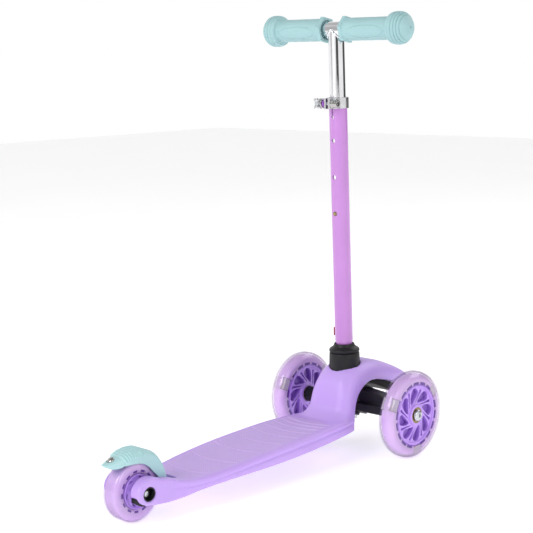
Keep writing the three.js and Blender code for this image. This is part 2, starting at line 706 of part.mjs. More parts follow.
function rearAxleBolt() {
  const { head } = REAR_STACK;
  const tip = REAR_HEAD_X + head + 0.9;
  const shank = revolve(
    [[0, -REAR_HEAD_X], [AXLE_R, -REAR_HEAD_X], [AXLE_R, tip - 0.9], [AXLE_R - 0.7, tip], [0, tip]],
    20,
  );
  const button = rod(5.6, -REAR_HEAD_X - head, -REAR_HEAD_X + GAP, 20);
  const key = hexRod(2.6, -REAR_HEAD_X - head - 5, -REAR_HEAD_X - 1);
  return onRearAxle(cut(join(shank, button), key));
}

function rearAxleNut() {
  const { head } = REAR_STACK;
  return onRearAxle(cut(hexRod(6.4, REAR_HEAD_X, REAR_HEAD_X + head), rod(AXLE_R + GAP, 0, 50, 20)));
}

// Shell of the brake about the rear axle, from its pivot back to the tip:
// degrees up from forward, half width, radius of the skirt's edge, radius of the crest, edge radius.
const BRAKE_STATIONS = [
  [-8, 15.3, 34, 47, 2],
  [8, 15.3, 33, 45.6, 2.4],
  [25, 15.3, 32.8, 46.5, 3.4],
  [42, 15.3, 33, 48.5, 4.4],
  [60, 15.3, 33.4, 51, 5],
  [80, 15.3, 34, 52, 5],
  [97, 15.3, 34.6, 52.6, 7],
  [110, 14.6, 37.6, 53, 8.4],
  [119, 13.2, 40.4, 53.6, 9],
  [127, 10.8, 42.8, 55.4, 8.4],
  [132.5, 8, 45.8, 57.6, 6],
  [136, 5.6, 50.4, 59.6, 4],
  [138, 3, 56, 61.2, 1.6],
];

function brakeLever() {
  const SKIRT_IN = 13;
  const LOW_EDGE_R = 0.6;
  const shell = loft(
    smoothRows(BRAKE_STATIONS, 2).map(([degrees, half, low, high, edge]) => {
      const angle = THREE.MathUtils.degToRad(degrees);
      return roundedSection(half, low, high, LOW_EDGE_R, edge, 3).map(
        ([x, r]) =>
          new THREE.Vector3(x, -WHEELBASE + r * Math.cos(angle), REAR_WHEEL_R + r * Math.sin(angle)),
      );
    }),
  );
  const { y, z } = BRAKE_PIN;
  const barrel = across(rod(6, -BRAKE_HALF, BRAKE_HALF, 20)).translate(0, y, z);
  const web = slab([[y, z - 6], [y, z + 6], [y - 9, z + 8], [y - 12, z - 4]], -BRAKE_HALF, BRAKE_HALF);
  const tyreRoom = onRearAxle(rod(REAR_WHEEL_R + BRAKE_CLEARANCE, -SKIRT_IN, SKIRT_IN, 36));
  const pinHole = across(rod(BRAKE_PIN.r + GAP, -40, 40, 16)).translate(0, y, z);
  const springNotch = block(-5.5, 5.5, y - 6.8, y + 12, z - 15, z + 6.7);
  const rivetHole = atRivet(rod(BRAKE_RIVET.shank + GAP, BRAKE_RIVET.tail - GAP, 20, 16));
  const rivetSeat = atRivet(rod(BRAKE_RIVET.head + 0.6, BRAKE_RIVET.seat, 20, 24));
  return cut(join(shell, web, barrel), tyreRoom, pinHole, springNotch, rivetHole, rivetSeat);
}

const WEAR_STRIP = {
  from: THREE.MathUtils.degToRad(55),
  to: THREE.MathUtils.degToRad(115),
  halfWidth: 8,
  thickness: 1.2,
};
const BRAKE_RIVET = { degrees: 126, radius: 55.2, shank: 1.9, head: 4.6, seat: -1.2, tail: -8 };

// Local +Z points away from the rear axle at the rivet, from the crest of the brake.
function atRivet(geometry) {
  const angle = THREE.MathUtils.degToRad(BRAKE_RIVET.degrees);
  return geometry
    .rotateX(angle - Math.PI / 2)
    .translate(
      0,
      -WHEELBASE + BRAKE_RIVET.radius * Math.cos(angle),
      REAR_WHEEL_R + BRAKE_RIVET.radius * Math.sin(angle),
    );
}

function brakeRivet() {
  const { shank, head, seat, tail } = BRAKE_RIVET;
  const base = seat + GAP;
  return atRivet(
    revolve(
      [[0, tail], [shank, tail], [shank, base], [head, base], [head, base + 0.7], [head - 1.1, base + 1.7],
        [2.2, base + 2.3], [0, base + 2.5]],
      20,
    ),
  );
}

// Steel wear strip that follows the inside of the brake over the tyre.
function brakePlate() {
  const { from, to, halfWidth, thickness } = WEAR_STRIP;
  const outer = REAR_WHEEL_R + BRAKE_CLEARANCE - GAP;
  const inner = outer - thickness;
  const arc = new THREE.Shape();
  arc.absarc(0, 0, outer, from, to);
  arc.absarc(0, 0, inner, to, from, true);
  return onRearAxle(plate(arc, 2 * halfWidth, 10).translate(0, 0, -halfWidth));
}

function brakePin() {
  return across(rod(BRAKE_PIN.r, -22.5, 22.5, 16)).translate(0, BRAKE_PIN.y, BRAKE_PIN.z);
}

function brakeSpring() {
  const coil = across(ring(BRAKE_PIN.r + GAP, 4.6, -4.5, 4.5, 20)).translate(0, BRAKE_PIN.y, BRAKE_PIN.z);
  const leg = block(-4.5, -3, BRAKE_PIN.y, FORK_SLOT_Y - GAP, BRAKE_PIN.z - 4.5, BRAKE_PIN.z - 3.1);
  return join(coil, leg);
}

// ---------------------------------------------------------------- assembly

const scooter = new THREE.Group();
scooter.position.y = FRONT_AXLE_Y;

function addPiece(parent, name, geometry, look) {
  const mesh = new THREE.Mesh(geometry, new THREE.MeshStandardMaterial(FINISH[look]));
  mesh.name = name;
  parent.add(mesh);
}

function addWheel(name, x, y, z, front) {
  const wheel = new THREE.Group();
  wheel.position.set(x, y, z);
  for (const [piece, geometry, look] of wheelPieces(name, front)) {
    addPiece(wheel, piece, across(geometry), look);
  }
  scooter.add(wheel);
}

const insert = forkInsert();
const rearSpacer = onRearAxle(ring(AXLE_R + GAP, 7, HUB_HALF + GAP, FORK_INNER_X - GAP, 20));
const axleBolt = frontAxleBolt();

const FIXED_PIECES = [
  ["deck_body", deckBody(), "lavender"],
  ["arch_block", archBlock(), "black"],
  ["collar_base", collarBase(), "black"],
  ["collar_cap", collarCap(), "black"],
  ["column_socket", columnSocket(), "steel"],
  ["column_tube", columnTube(), "orchid"],
  ["column_tag", columnTag(), "coral"],
  ["clamp_ring", clampRing(), "chrome"],
  ["clamp_bolt", clampBolt(), "steel"],
  ["clamp_nut", clampNut(), "chrome"],
  ["clamp_washer", clampWasher(), "orchid"],
  ["clamp_saddle", clampSaddle(), "chrome"],
  ["lever_pin", leverPin(), "steel"],
  ["quick_release_lever", quickReleaseLever(), "chrome"],
  ["handlebar_tube", handlebarTube(), "chrome"],
  ["grip_right", grip(1), "mint"],
  ["grip_left", grip(-1), "mint"],
  ["detent_button", detentButton(), "brass"],
  ["button_spring", buttonSpring(), "steel"],
  ["king_bolt", kingBolt(), "steel"],
  ["truck_beam", truckBeam(), "black"],
  ["lean_bushing_upper", leanBushing(TRUCK_FACE + GAP, KING_FACE - GAP, 10.5), "amber"],
  ["lean_bushing_lower", leanBushing(BUSHING_END, TRUCK_BOTTOM - GAP, 11), "amber"],
  ["front_axle_bolt_right", axleBolt, "steel"],
  ["front_axle_bolt_left", mirrored(axleBolt), "steel"],
  ["fork_insert_right", insert, "black"],
  ["fork_insert_left", mirrored(insert), "black"],
  ["rear_spacer_right", rearSpacer, "steel"],
  ["rear_spacer_left", mirrored(rearSpacer), "steel"],
  ["rear_axle_bolt", rearAxleBolt(), "steel"],
  ["rear_axle_nut", rearAxleNut(), "steel"],
  ["brake_lever", brakeLever(), "mint"],
  ["brake_plate", brakePlate(), "steel"],
  ["brake_rivet", brakeRivet(), "chrome"],
  ["brake_pin", brakePin(), "steel"],
  ["brake_spring", brakeSpring(), "steel"],
];

for (const [name, geometry, look] of FIXED_PIECES) addPiece(scooter, name, geometry, look);
addWheel("front_right", TRACK / 2, 0, FRONT_WHEEL_R, true);
addWheel("front_left", -TRACK / 2, 0, FRONT_WHEEL_R, true);
addWheel("rear", 0, -WHEELBASE, REAR_WHEEL_R, false);

const group = new THREE.Group();
group.add(scooter);

export default group;
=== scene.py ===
"""Looks of a toddler's three-wheeled kick scooter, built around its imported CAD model.

Lengths are millimetres until a mesh is made. Inside the script, y = 0 is the front axle, +X is the
rider's right, +Y is forward, +Z is up and the floor is z = 0.
"""

import math

import bmesh
import bpy
import numpy as np
from mathutils import Matrix, Vector


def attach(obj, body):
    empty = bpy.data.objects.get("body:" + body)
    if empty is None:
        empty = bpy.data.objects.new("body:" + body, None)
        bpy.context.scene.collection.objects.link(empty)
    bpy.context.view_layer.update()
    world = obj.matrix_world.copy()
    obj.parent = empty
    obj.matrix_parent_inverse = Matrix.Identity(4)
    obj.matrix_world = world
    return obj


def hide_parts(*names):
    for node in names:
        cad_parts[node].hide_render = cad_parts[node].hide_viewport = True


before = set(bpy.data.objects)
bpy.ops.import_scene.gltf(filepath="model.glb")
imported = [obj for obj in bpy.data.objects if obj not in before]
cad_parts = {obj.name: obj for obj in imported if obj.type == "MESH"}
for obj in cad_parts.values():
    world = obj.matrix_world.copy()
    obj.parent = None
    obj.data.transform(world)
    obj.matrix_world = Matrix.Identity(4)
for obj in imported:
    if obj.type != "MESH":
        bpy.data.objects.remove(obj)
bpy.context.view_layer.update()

MM = 0.001
FRONT_AXLE_Y = 174.5
WHEELBASE = 424.0
REAR_AXLE = (-WHEELBASE, 38.0)
FRONT_WHEEL_R = 60.0
REAR_WHEEL_R = 38.0
HALF_TRACK = 98.0
COLUMN_RAKE = math.radians(1.5)
COLUMN_FOOT = (-21.7, 148.8)
KING_ANGLE = math.radians(66.5)
BAR_HEIGHT = 433.4
CLAMP_Z = 335.75
CLAMP_BOLT_Y = -19.6
LEVER_PIN_X = -19.1
POST_R = 11.0
POST_BORE_R = 9.5
BUTTON_Z = 185.0
BRAKE_PIN = (-372.0, 33.5)

# ---------------------------------------------------------------- node materials


class Nodes:
    """A node tree with short calls for the few patterns the materials use."""

    def __init__(self, name):
        self.material = bpy.data.materials.new(name)
        self.material.use_nodes = True
        self.tree = self.material.node_tree
        self.shader = self.tree.nodes["Principled BSDF"]
        self.position = self.add("ShaderNodeTexCoord").outputs["Object"]

    def add(self, kind, **settings):
        node = self.tree.nodes.new(kind)
        for key, value in settings.items():
            setattr(node, key, value)
        return node

    def link(self, source, target):
        self.tree.links.new(source, target)

    def noise(self, scale, detail=3.0, stretch=(1, 1, 1)):
        mapping = self.add("ShaderNodeMapping")
        mapping.inputs["Scale"].default_value = stretch
        texture = self.add("ShaderNodeTexNoise")
        texture.inputs["Scale"].default_value = scale
        texture.inputs["Detail"].default_value = detail
        self.link(self.position, mapping.inputs["Vector"])
        self.link(mapping.outputs["Vector"], texture.inputs["Vector"])
        return texture.outputs["Fac"]

    def remap(self, value, low, high, start=0.3, stop=0.7):
        node = self.add("ShaderNodeMapRange")
        node.inputs["From Min"].default_value = start
        node.inputs["From Max"].default_value = stop
        node.inputs["To Min"].default_value = low
        node.inputs["To Max"].default_value = high
        self.link(value, node.inputs["Value"])
        return node.outputs["Result"]

    def math(self, operation, a, b):
        node = self.add("ShaderNodeMath", operation=operation)
        for socket, value in zip(node.inputs, (a, b)):
            if isinstance(value, (int, float)):
                socket.default_value = value
            else:
                self.link(value, socket)
        return node.outputs[0]

    def mix(self, share, first, second):
        node = self.add("ShaderNodeMix", data_type="RGBA")
        if isinstance(share, float):
            node.inputs["Factor"].default_value = share
        else:
            self.link(share, node.inputs["Factor"])
        for socket, value in ((node.inputs[6], first), (node.inputs[7], second)):
            if isinstance(value, tuple):
                socket.default_value = (*value, 1)
            else:
                self.link(value, socket)
        return node.outputs[2]

    def colour(self, output):
        self.link(output, self.shader.inputs["Base Color"])

    def roughness(self, output):
        self.link(output, self.shader.inputs["Roughness"])

    def bump(self, height, distance, under=None):
        node = self.add("ShaderNodeBump")
        node.inputs["Distance"].default_value = distance * MM
        node.inputs["Strength"].default_value = 1
        self.link(height, node.inputs["Height"])
        if under is not None:
            self.link(under, node.inputs["Normal"])
        self.link(node.outputs["Normal"], self.shader.inputs["Normal"])
        return node.outputs["Normal"]

    def set(self, **values):
        for key, value in values.items():
            self.shader.inputs[key.replace("_", " ")].default_value = value
        return self


def shade(colour, factor):
    return tuple(min(1.0, c * factor) for c in colour)


def linear(red, green, blue):
    """Linear colour from sRGB numbers of 0 to 255."""
    return tuple(
        c / 12.92 if c <= 0.04045 else ((c + 0.055) / 1.055) ** 2.4
        for c in (red / 255, green / 255, blue / 255)
    )


def moulded(name, colour, rough, grain=900.0, depth=0.03, blotch=0.05, coat=0.0, subsurface=0.0,
            specular=0.5):
    """Moulded plastic or rubber: cloudy colour, fine spark-eroded grain and uneven gloss."""
    n = Nodes(name)
    cloud = n.noise(22.0, 2.0)
    n.colour(n.mix(n.remap(cloud, 0.0, 1.0), shade(colour, 1 - blotch), shade(colour, 1 + blotch)))
    wear = n.noise(160.0, 4.0)
    n.roughness(n.remap(wear, rough - 0.05, rough + 0.06))
    n.bump(n.noise(grain, 2.0), depth)
    n.set(Coat_Weight=coat, Coat_Roughness=0.12)
    if specular != 0.5:
        n.set(Specular_IOR_Level=specular)
    if subsurface:
        n.set(Subsurface_Weight=subsurface, Subsurface_Scale=0.006)
        n.shader.inputs["Subsurface Radius"].default_value = (1.0, 0.8, 1.0)
    return n


def metal(name, colour, rough, stretch=(1, 1, 1), lines=500.0, depth=0.004, spread=0.04):
    """Metal with fine machining or polishing lines along the unstretched axes."""
    n = Nodes(name)
    streak = n.noise(lines, 3.0, stretch)
    haze = n.noise(45.0, 3.0)
    n.colour(n.mix(n.remap(haze, 0.0, 1.0), shade(colour, 0.93), shade(colour, 1.04)))
    n.roughness(n.remap(streak, max(0.02, rough - spread), rough + spread))
    n.bump(streak, depth)
    n.set(Metallic=1.0)
    return n


LAVENDER = linear(199, 165, 240)
ORCHID = linear(194, 133, 209)
MINT = linear(174, 214, 217)
# The grips' mint, darker than the brake's mint so that it carries painted shade.
GRIP_MINT_SHADED = linear(160, 198, 201)
BLACK = linear(24, 24, 27)
VIOLET = linear(196, 154, 246)
# Deep violet of the web and the rim dashes, also used as the painted shade at the bottom of the core's
# pockets.
DEEP_VIOLET = linear(104, 58, 166)
MILKY = linear(226, 199, 243)


def deck_material():
    """Satin deck plastic with a fine raised dot grid where the tread attribute is set."""
    n = Nodes("deck_plastic")
    cloud = n.noise(14.0, 2.0)
    plain = n.mix(n.remap(cloud, 0.0, 1.0), shade(LAVENDER, 0.97), shade(LAVENDER, 1.03))
    tread = n.add("ShaderNodeAttribute", attribute_name="tread").outputs["Fac"]
    scaled = n.add("ShaderNodeMapping")
    scaled.inputs["Scale"].default_value = (420, 420, 0)
    scaled.inputs["Rotation"].default_value = (0, 0, math.radians(45))
    n.link(n.position, scaled.inputs["Vector"])
    cell = n.add("ShaderNodeVectorMath", operation="FRACTION")
    n.link(scaled.outputs["Vector"], cell.inputs[0])
    away = n.add("ShaderNodeVectorMath", operation="DISTANCE")
    away.inputs[1].default_value = (0.5, 0.5, 0)
    n.link(cell.outputs["Vector"], away.inputs[0])
    dot = n.remap(away.outputs["Value"], 1.0, 0.0, 0.18, 0.34)
    dots = n.math("MULTIPLY", dot, tread)
    # On the tread the colour is lighter on the raised dots and darker between them.
    dot_tone = n.mix(dots, (0.68, 0.56, 0.80), (0.9, 0.82, 0.96))
    tint = n.math("MULTIPLY", tread, 0.22)
    n.colour(n.mix(tint, plain, dot_tone))
    n.roughness(n.math("ADD", n.remap(n.noise(120.0, 4.0), 0.36, 0.46), n.math("MULTIPLY", tread, 0.12)))
    grain = n.bump(n.noise(1100.0, 2.0), 0.02)
    n.bump(dots, 0.35, grain)
    n.set(Subsurface_Weight=0.06, Subsurface_Scale=0.004)
    return n.material


def core_material():
    """Satin wheel plastic, with painted shade that turns it towards deep violet at the bottom of its pockets.
    """
    n = moulded("wheel_core_plastic", VIOLET, 0.3, 900.0, 0.02, 0.04, coat=0.2)
    surface = n.shader.inputs["Base Color"].links[0].from_socket
    depth = n.add("ShaderNodeAttribute", attribute_name="depth").outputs["Fac"]
    # Painted shade: where the depth attribute is set, the colour is mixed part way towards deep violet.
    n.colour(n.mix(n.math("MULTIPLY", depth, 0.62), surface, DEEP_VIOLET))
    return n.material


def paint_material():
    """Gloss enamel on a steel tube, with a little orange peel."""
    n = Nodes("column_paint")
    n.colour(n.mix(n.remap(n.noise(20.0, 2.0), 0.0, 1.0), shade(ORCHID, 0.97), shade(ORCHID, 1.03)))
    n.roughness(n.remap(n.noise(90.0, 3.0), 0.16, 0.24))
    n.bump(n.noise(260.0, 1.0), 0.02)
    n.set(Coat_Weight=0.6, Coat_Roughness=0.06)
    return n.material


def skin_material():
    """Clear outer layer of a urethane tyre: seen through from in front, glossy at its edges."""
    n = Nodes("urethane_clear")
    output = n.tree.nodes["Material Output"]
    n.tree.nodes.remove(n.shader)
    through = n.add("ShaderNodeBsdfTransparent")
    thin = n.mix(n.remap(n.noise(30.0, 2.0), 0.0, 1.0), (0.96, 0.94, 0.98), (0.99, 0.97, 0.995))
    rim = n.math("POWER", n.add("ShaderNodeLayerWeight").outputs["Facing"], 3.0)
    n.link(n.mix(rim, thin, (0.52, 0.45, 0.58)), through.inputs["Color"])
    gloss = n.add("ShaderNodeBsdfGlossy")
    gloss.inputs["Color"].default_value = (0.72, 0.68, 0.76, 1)
    n.link(n.remap(n.noise(140.0, 3.0), 0.05, 0.11), gloss.inputs["Roughness"])
    edge = n.add("ShaderNodeFresnel")
    edge.inputs["IOR"].default_value = 1.5
    mixed = n.add("ShaderNodeMixShader")
    behind = n.add("ShaderNodeNewGeometry").outputs["Backfacing"]
    n.link(n.math("MULTIPLY", edge.outputs["Fac"], n.math("SUBTRACT", 1.0, behind)), mixed.inputs["Fac"])
    n.link(through.outputs["BSDF"], mixed.inputs[1])
    n.link(gloss.outputs["BSDF"], mixed.inputs[2])
    n.link(mixed.outputs["Shader"], output.inputs["Surface"])
    return n.material


def fabric_material():
    """Woven coral label tape."""
    n = Nodes("label_tape")
    weave = n.add("ShaderNodeTexWave", wave_type="BANDS", bands_direction="Z")
    weave.inputs["Scale"].default_value = 900
    n.link(n.position, weave.inputs["Vector"])
    thread = n.add("ShaderNodeTexWave", wave_type="BANDS", bands_direction="Y")
    thread.inputs["Scale"].default_value = 900
    n.link(n.position, thread.inputs["Vector"])
    both = n.math("MULTIPLY", weave.outputs["Fac"], thread.outputs["Fac"])
    n.colour(n.mix(both, linear(224, 98, 80), linear(244, 134, 112)))
    n.roughness(n.remap(both, 0.75, 0.9, 0.0, 1.0))
    n.bump(both, 0.12)
    return n.material


def clear_material():
    """Clear plastic of the light blocks."""
    n = Nodes("light_clear")
    n.colour(n.mix(n.remap(n.noise(60.0, 3.0), 0.0, 1.0), (0.86, 0.83, 0.9), (0.95, 0.93, 0.97)))
    n.roughness(n.remap(n.noise(200.0, 3.0), 0.06, 0.16))
    n.bump(n.noise(240.0, 2.0), 0.2)
    n.set(Alpha=0.55, IOR=1.5, Specular_IOR_Level=0.9)
    return n.material


MATERIALS = {
    "deck": deck_material(),
    # The tread lines are lighter than the deck: a painted highlight for the light that the raised lines
    # catch.
    "tread_line": moulded("tread_line_plastic", linear(214, 186, 242), 0.4, 900.0, 0.02, 0.03).material,
    "paint": paint_material(),
    "skin": skin_material(),
    "fabric": fabric_material(),
    # The grips use the darkened mint, whose darker tone is painted shade.
    "mint_grip": moulded("mint_rubber", GRIP_MINT_SHADED, 0.55, 700.0, 0.05, 0.03, subsurface=0.08).material,
    "mint_brake": moulded("mint_plastic", MINT, 0.4, 900.0, 0.03, 0.03, subsurface=0.05).material,
    "black": moulded("black_plastic", BLACK, 0.45, 800.0, 0.05, 0.12, specular=0.35).material,
    "black_gloss": moulded("black_glazed", BLACK, 0.25, 500.0, 0.02, 0.1).material,
    "pad_black": moulded("pad_rubber", linear(14, 13, 16), 0.6, 800.0, 0.04, 0.15, specular=0.2).material,
    "violet": core_material(),
    "deep_violet": moulded("wheel_web_plastic", DEEP_VIOLET, 0.38, 900.0, 0.02, 0.05).material,
    "milky": moulded("urethane_milky", MILKY, 0.22, 300.0, 0.01, 0.04, coat=0.4, subsurface=0.35).material,
    "washer": moulded("washer_plastic", linear(150, 84, 186), 0.35, 900.0, 0.02, 0.05).material,
    "bushing": moulded("urethane_bushing", linear(38, 34, 40), 0.5, 700.0, 0.03, 0.08).material,
    "board": moulded("light_board", linear(228, 232, 222), 0.4, 900.0, 0.02, 0.1).material,
    "chrome": metal("chrome", (0.84, 0.84, 0.86), 0.06, (1, 1, 0.15), 300.0, 0.002, 0.03).material,
    "dark_chrome": metal("chrome_dark", (0.5, 0.49, 0.48), 0.12, (1, 1, 1), 300.0, 0.004, 0.04).material,
    "polished": metal("polished_aluminium", (0.7, 0.7, 0.72), 0.18, (1, 1, 6), 300.0, 0.01, 0.08).material,
    "steel": metal("zinc_steel", (0.62, 0.64, 0.67), 0.3, (1, 1, 1), 420.0, 0.01, 0.1).material,
    "brass": metal("brass", (0.36, 0.28, 0.14), 0.3, (1, 1, 1), 420.0, 0.01, 0.08).material,
    "copper": metal("copper_wire", (0.7, 0.34, 0.2), 0.25, (1, 1, 1), 420.0, 0.01, 0.08).material,
    "clear": clear_material(),
}


# ---------------------------------------------------------------- shapes

ACROSS = Matrix(((0, 0, 1, 0), (1, 0, 0, 0), (0, 1, 0, 0), (0, 0, 0, 1)))
ALONG_COLUMN = Matrix.Translation((0, *COLUMN_FOOT)) @ Matrix.Rotation(COLUMN_RAKE, 4, "X")
ALONG_KING = Matrix.Translation((0, 0, FRONT_WHEEL_R)) @ Matrix.Rotation(KING_ANGLE - math.pi / 2, 4, "X")
TO_ROW = Matrix.Scale(MM, 4) @ Matrix.Translation((0, FRONT_AXLE_Y, 0))
BACKWARDS = Matrix.Rotation(math.pi / 2, 4, "X")


class Shape:
    """Points in millimetres and faces between them."""

    def __init__(self, points, faces):
        self.points = np.asarray(points, float).reshape(-1, 3)
        self.faces = [tuple(f) for f in faces]

    def moved(self, *matrices):
        points = self.points
        for matrix in matrices:
            m = np.array(matrix)
            points = points @ m[:3, :3].T + m[:3, 3]
        return Shape(points, self.faces)

    def at(self, x, y, z):
        return Shape(self.points + (x, y, z), self.faces)

    def scaled(self, x, y, z):
        return Shape(self.points * (x, y, z), self.faces)

    def __add__(self, other):
        shift = len(self.points)
        faces = self.faces + [tuple(i + shift for i in f) for f in other.faces]
        return Shape(np.vstack([self.points, other.points]), faces)


def joined(shapes):
    """One shape from several, in order."""
    first, *others = shapes
    for other in others:
        first = first + other
    return first


def curve(points, count, closed=False):
    """Evenly counted points on a smooth curve through the given rows."""
    rows = np.asarray(points, float)
    n = len(rows)
    spans = n if closed else n - 1
    out = []
    for t in np.linspace(0, spans, count, endpoint=not closed):
        i = min(int(t), spans - 1)
        u = t - i
        take = (lambda k: rows[k % n]) if closed else (lambda k: rows[min(max(k, 0), n - 1)])
        a, b, c, d = take(i - 1), take(i), take(i + 1), take(i + 2)
        bend = (2 * a - 5 * b + 4 * c - d) * u**2 + (3 * b - a - 3 * c + d) * u**3
        out.append(0.5 * (2 * b + (c - a) * u + bend))
    return np.array(out)


def revolve(profile, segments=72):
    """Solid of revolution about +Z from [radius, height]. Ends on the axis close it, else it is a ring."""
    ring = all(r > 1e-9 for r, _ in profile)
    points, rows = [], []
    for r, h in profile:
        if r <= 1e-9:
            rows.append([len(points)] * segments)
            points.append((0, 0, h))
        else:
            rows.append(list(range(len(points), len(points) + segments)))
            points += [
                (r * math.cos(2 * math.pi * k / segments), r * math.sin(2 * math.pi * k / segments), h)
                for k in range(segments)
            ]
    faces = []
    for a, b in zip(rows, rows[1:] + (rows[:1] if ring else [])):
        for k in range(segments):
            m = (k + 1) % segments
            face = list(dict.fromkeys((a[k], a[m], b[m], b[k])))
            if len(face) > 2:
                faces.append(face)
    return Shape(points, faces)


def loft(rings):
    """Closed body through rings of equal length, with a flat fan on each end."""
    rings = np.asarray(rings, float)
    rows, count = rings.shape[:2]
    points = np.vstack([rings.reshape(-1, 3), rings[0].mean(0), rings[-1].mean(0)])
    faces = []
    for i in range(count):
        j = (i + 1) % count
        faces.append((rows * count, j, i))
        top = (rows - 1) * count
        faces.append((rows * count + 1, top + i, top + j))
        for row in range(0, top, count):
            faces.append((row + i, row + j, row + count + j, row + count + i))
    return Shape(points, faces)


def rod(radius, start, stop, segments=48):
    return revolve([(0, start), (radius, start), (radius, stop), (0, stop)], segments)


def block(x0, x1, y0, y1, z0, z1):
    xs, ys, zs = (x0, x1), (y0, y1), (z0, z1)
    points = [(x, y, z) for x in xs for y in ys for z in zs]
    return Shape(points, [(0, 1, 3, 2), (4, 6, 7, 5), (0, 4, 5, 1), (2, 3, 7, 6), (0, 2, 6, 4), (1, 5, 7, 3)])


def prism(outline, low, high):
    """Outline in local x, y, raised from low to high along z."""
    n = len(outline)
    points = [(x, y, low) for x, y in outline] + [(x, y, high) for x, y in outline]
    faces = [tuple(reversed(range(n))), tuple(range(n, 2 * n))]
    faces += [(i, (i + 1) % n, n + (i + 1) % n, n + i) for i in range(n)]
    return Shape(points, faces)


def sweep(path, radius, sides=10):
    """Round wire along an open path."""
    path = np.asarray(path, float)
    turns = [2 * math.pi * k / sides for k in range(sides)]
    rings = []
    for i, p in enumerate(path):
        along = path[min(i + 1, len(path) - 1)] - path[max(i - 1, 0)]
        along /= np.linalg.norm(along)
        side = np.cross(along, (0.31, 0.17, 0.94))
        side /= np.linalg.norm(side)
        up = np.cross(side, along)
        rings.append([p + radius * (math.cos(t) * side + math.sin(t) * up) for t in turns])
    return loft(rings)


def rounded_outline(points, radius, steps=5):
    """Polygon with each corner rounded."""
    out = []
    n = len(points)
    for i in range(n):
        p = np.array(points[i], float)
        a = np.array(points[i - 1], float) - p
        b = np.array(points[(i + 1) % n], float) - p
        la, lb = np.linalg.norm(a), np.linalg.norm(b)
        r = min(radius, 0.45 * la, 0.45 * lb)
        start, stop = p + a / la * r, p + b / lb * r
        for t in np.linspace(0, 1, steps):
            out.append((1 - t) ** 2 * start + 2 * t * (1 - t) * p + t * t * stop)
    return out


# ---------------------------------------------------------------- meshes


def raw_object(shape):
    mesh = bpy.data.meshes.new("scratch")
    mesh.from_pydata([tuple(p) for p in shape.points], [], shape.faces)
    made = bmesh.new()
    made.from_mesh(mesh)
    bmesh.ops.remove_doubles(made, verts=made.verts, dist=1e-5)
    bmesh.ops.recalc_face_normals(made, faces=made.faces)
    made.to_mesh(mesh)
    made.free()
    item = bpy.data.objects.new("scratch", mesh)
    bpy.context.scene.collection.objects.link(item)
    return item


def modify(item, kind, **settings):
    modifier = item.modifiers.new(kind.lower(), kind)
    for key, value in settings.items():
        setattr(modifier, key, value)
    return modifier


def bake(item):
    """Applies an object's modifiers."""
    graph = bpy.context.evaluated_depsgraph_get()
    mesh = bpy.data.meshes.new_from_object(item.evaluated_get(graph))
    item.modifiers.clear()
    old = item.data
    item.data = mesh
    bpy.data.meshes.remove(old)
    return item


def combine(item, others, operation):
    for other in others:
        modify(item, "BOOLEAN", object=other, operation=operation, solver="MANIFOLD")
        bake(item)
        mesh = other.data
        bpy.data.objects.remove(other)
        bpy.data.meshes.remove(mesh)
    return item


def cut(item, *shapes):
    return combine(item, [raw_object(s) for s in shapes], "DIFFERENCE")


def fuse(item, *shapes):
    return combine(item, [raw_object(s) for s in shapes], "UNION")


def bevelled(item, width, segments=2, angle=32):
    limits = {"limit_method": "ANGLE", "angle_limit": math.radians(angle), "harden_normals": False}
    modify(item, "BEVEL", width=width, segments=segments, **limits)
    return bake(item)


def melted(item, voxel, rounds):
    """One skin over everything, with its sharp edges softened."""
    modify(item, "REMESH", mode="VOXEL", voxel_size=voxel, adaptivity=0)
    bake(item)
    modify(item, "SMOOTH", factor=0.5, iterations=rounds)
    return bake(item)


def piece(item, name, body, material, nodes=(), sharp=35, place=TO_ROW):
    """Names, places and shades one finished piece and attaches it to its body. It stands for the CAD nodes
    given.
    """
    item.name = name
    item.data.name = name
    item.data.transform(place)
    item.data.materials.clear()
    item.data.materials.append(MATERIALS[material])
    item.data.polygons.foreach_set("use_smooth", [True] * len(item.data.polygons))
    item.data.set_sharp_from_angle(angle=math.radians(sharp))
    item.data.update()
    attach(item, body)
    if nodes:
        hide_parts(*nodes)
    return item


def cad_copy(node):
    """A welded copy of a CAD node in millimetres, about the front axle."""
    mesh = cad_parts[node].data.copy()
    mesh.transform(TO_ROW.inverted())
    made = bmesh.new()
    made.from_mesh(mesh)
    bmesh.ops.remove_doubles(made, verts=made.verts, dist=1e-3)
    bmesh.ops.dissolve_limit(made, angle_limit=math.radians(1.0), verts=made.verts, edges=made.edges)
    bmesh.ops.recalc_face_normals(made, faces=made.faces)
    made.to_mesh(mesh)
    made.free()
    item = bpy.data.objects.new("scratch", mesh)
    bpy.context.scene.collection.objects.link(item)
    return item


def rounded_copy(node, name, body, material, width, segments=2):
    """A CAD node with its edges rounded, made into one piece that stands in for it."""
    item = bevelled(cad_copy(node), width, segments, 40)
    return piece(item, name, body, material, [node])


def on_column(shape):
    """A mesh from a shape drawn along the column's own axis."""
    return raw_object(shape.moved(ALONG_COLUMN))


# ---------------------------------------------------------------- deck, neck, arch and fork

# y, half width, top, bottom
DECK_STATIONS = [
    (-45, 37.5, 54, 34),
    (-70, 42.2, 54, 33.2),
    (-100, 46.9, 54.4, 33),
    (-140, 50.6, 53.8, 32),
    (-180, 51.5, 52.5, 30.6),
    (-220, 52, 50.8, 30),
    (-260, 51.5, 48.4, 30),
    (-300, 49.4, 45.5, 29.6),
    (-340, 44.6, 42.6, 27.4),
    (-364, 39, 43, 23.8),
    (-384, 33.4, 46.8, 20.8),
]

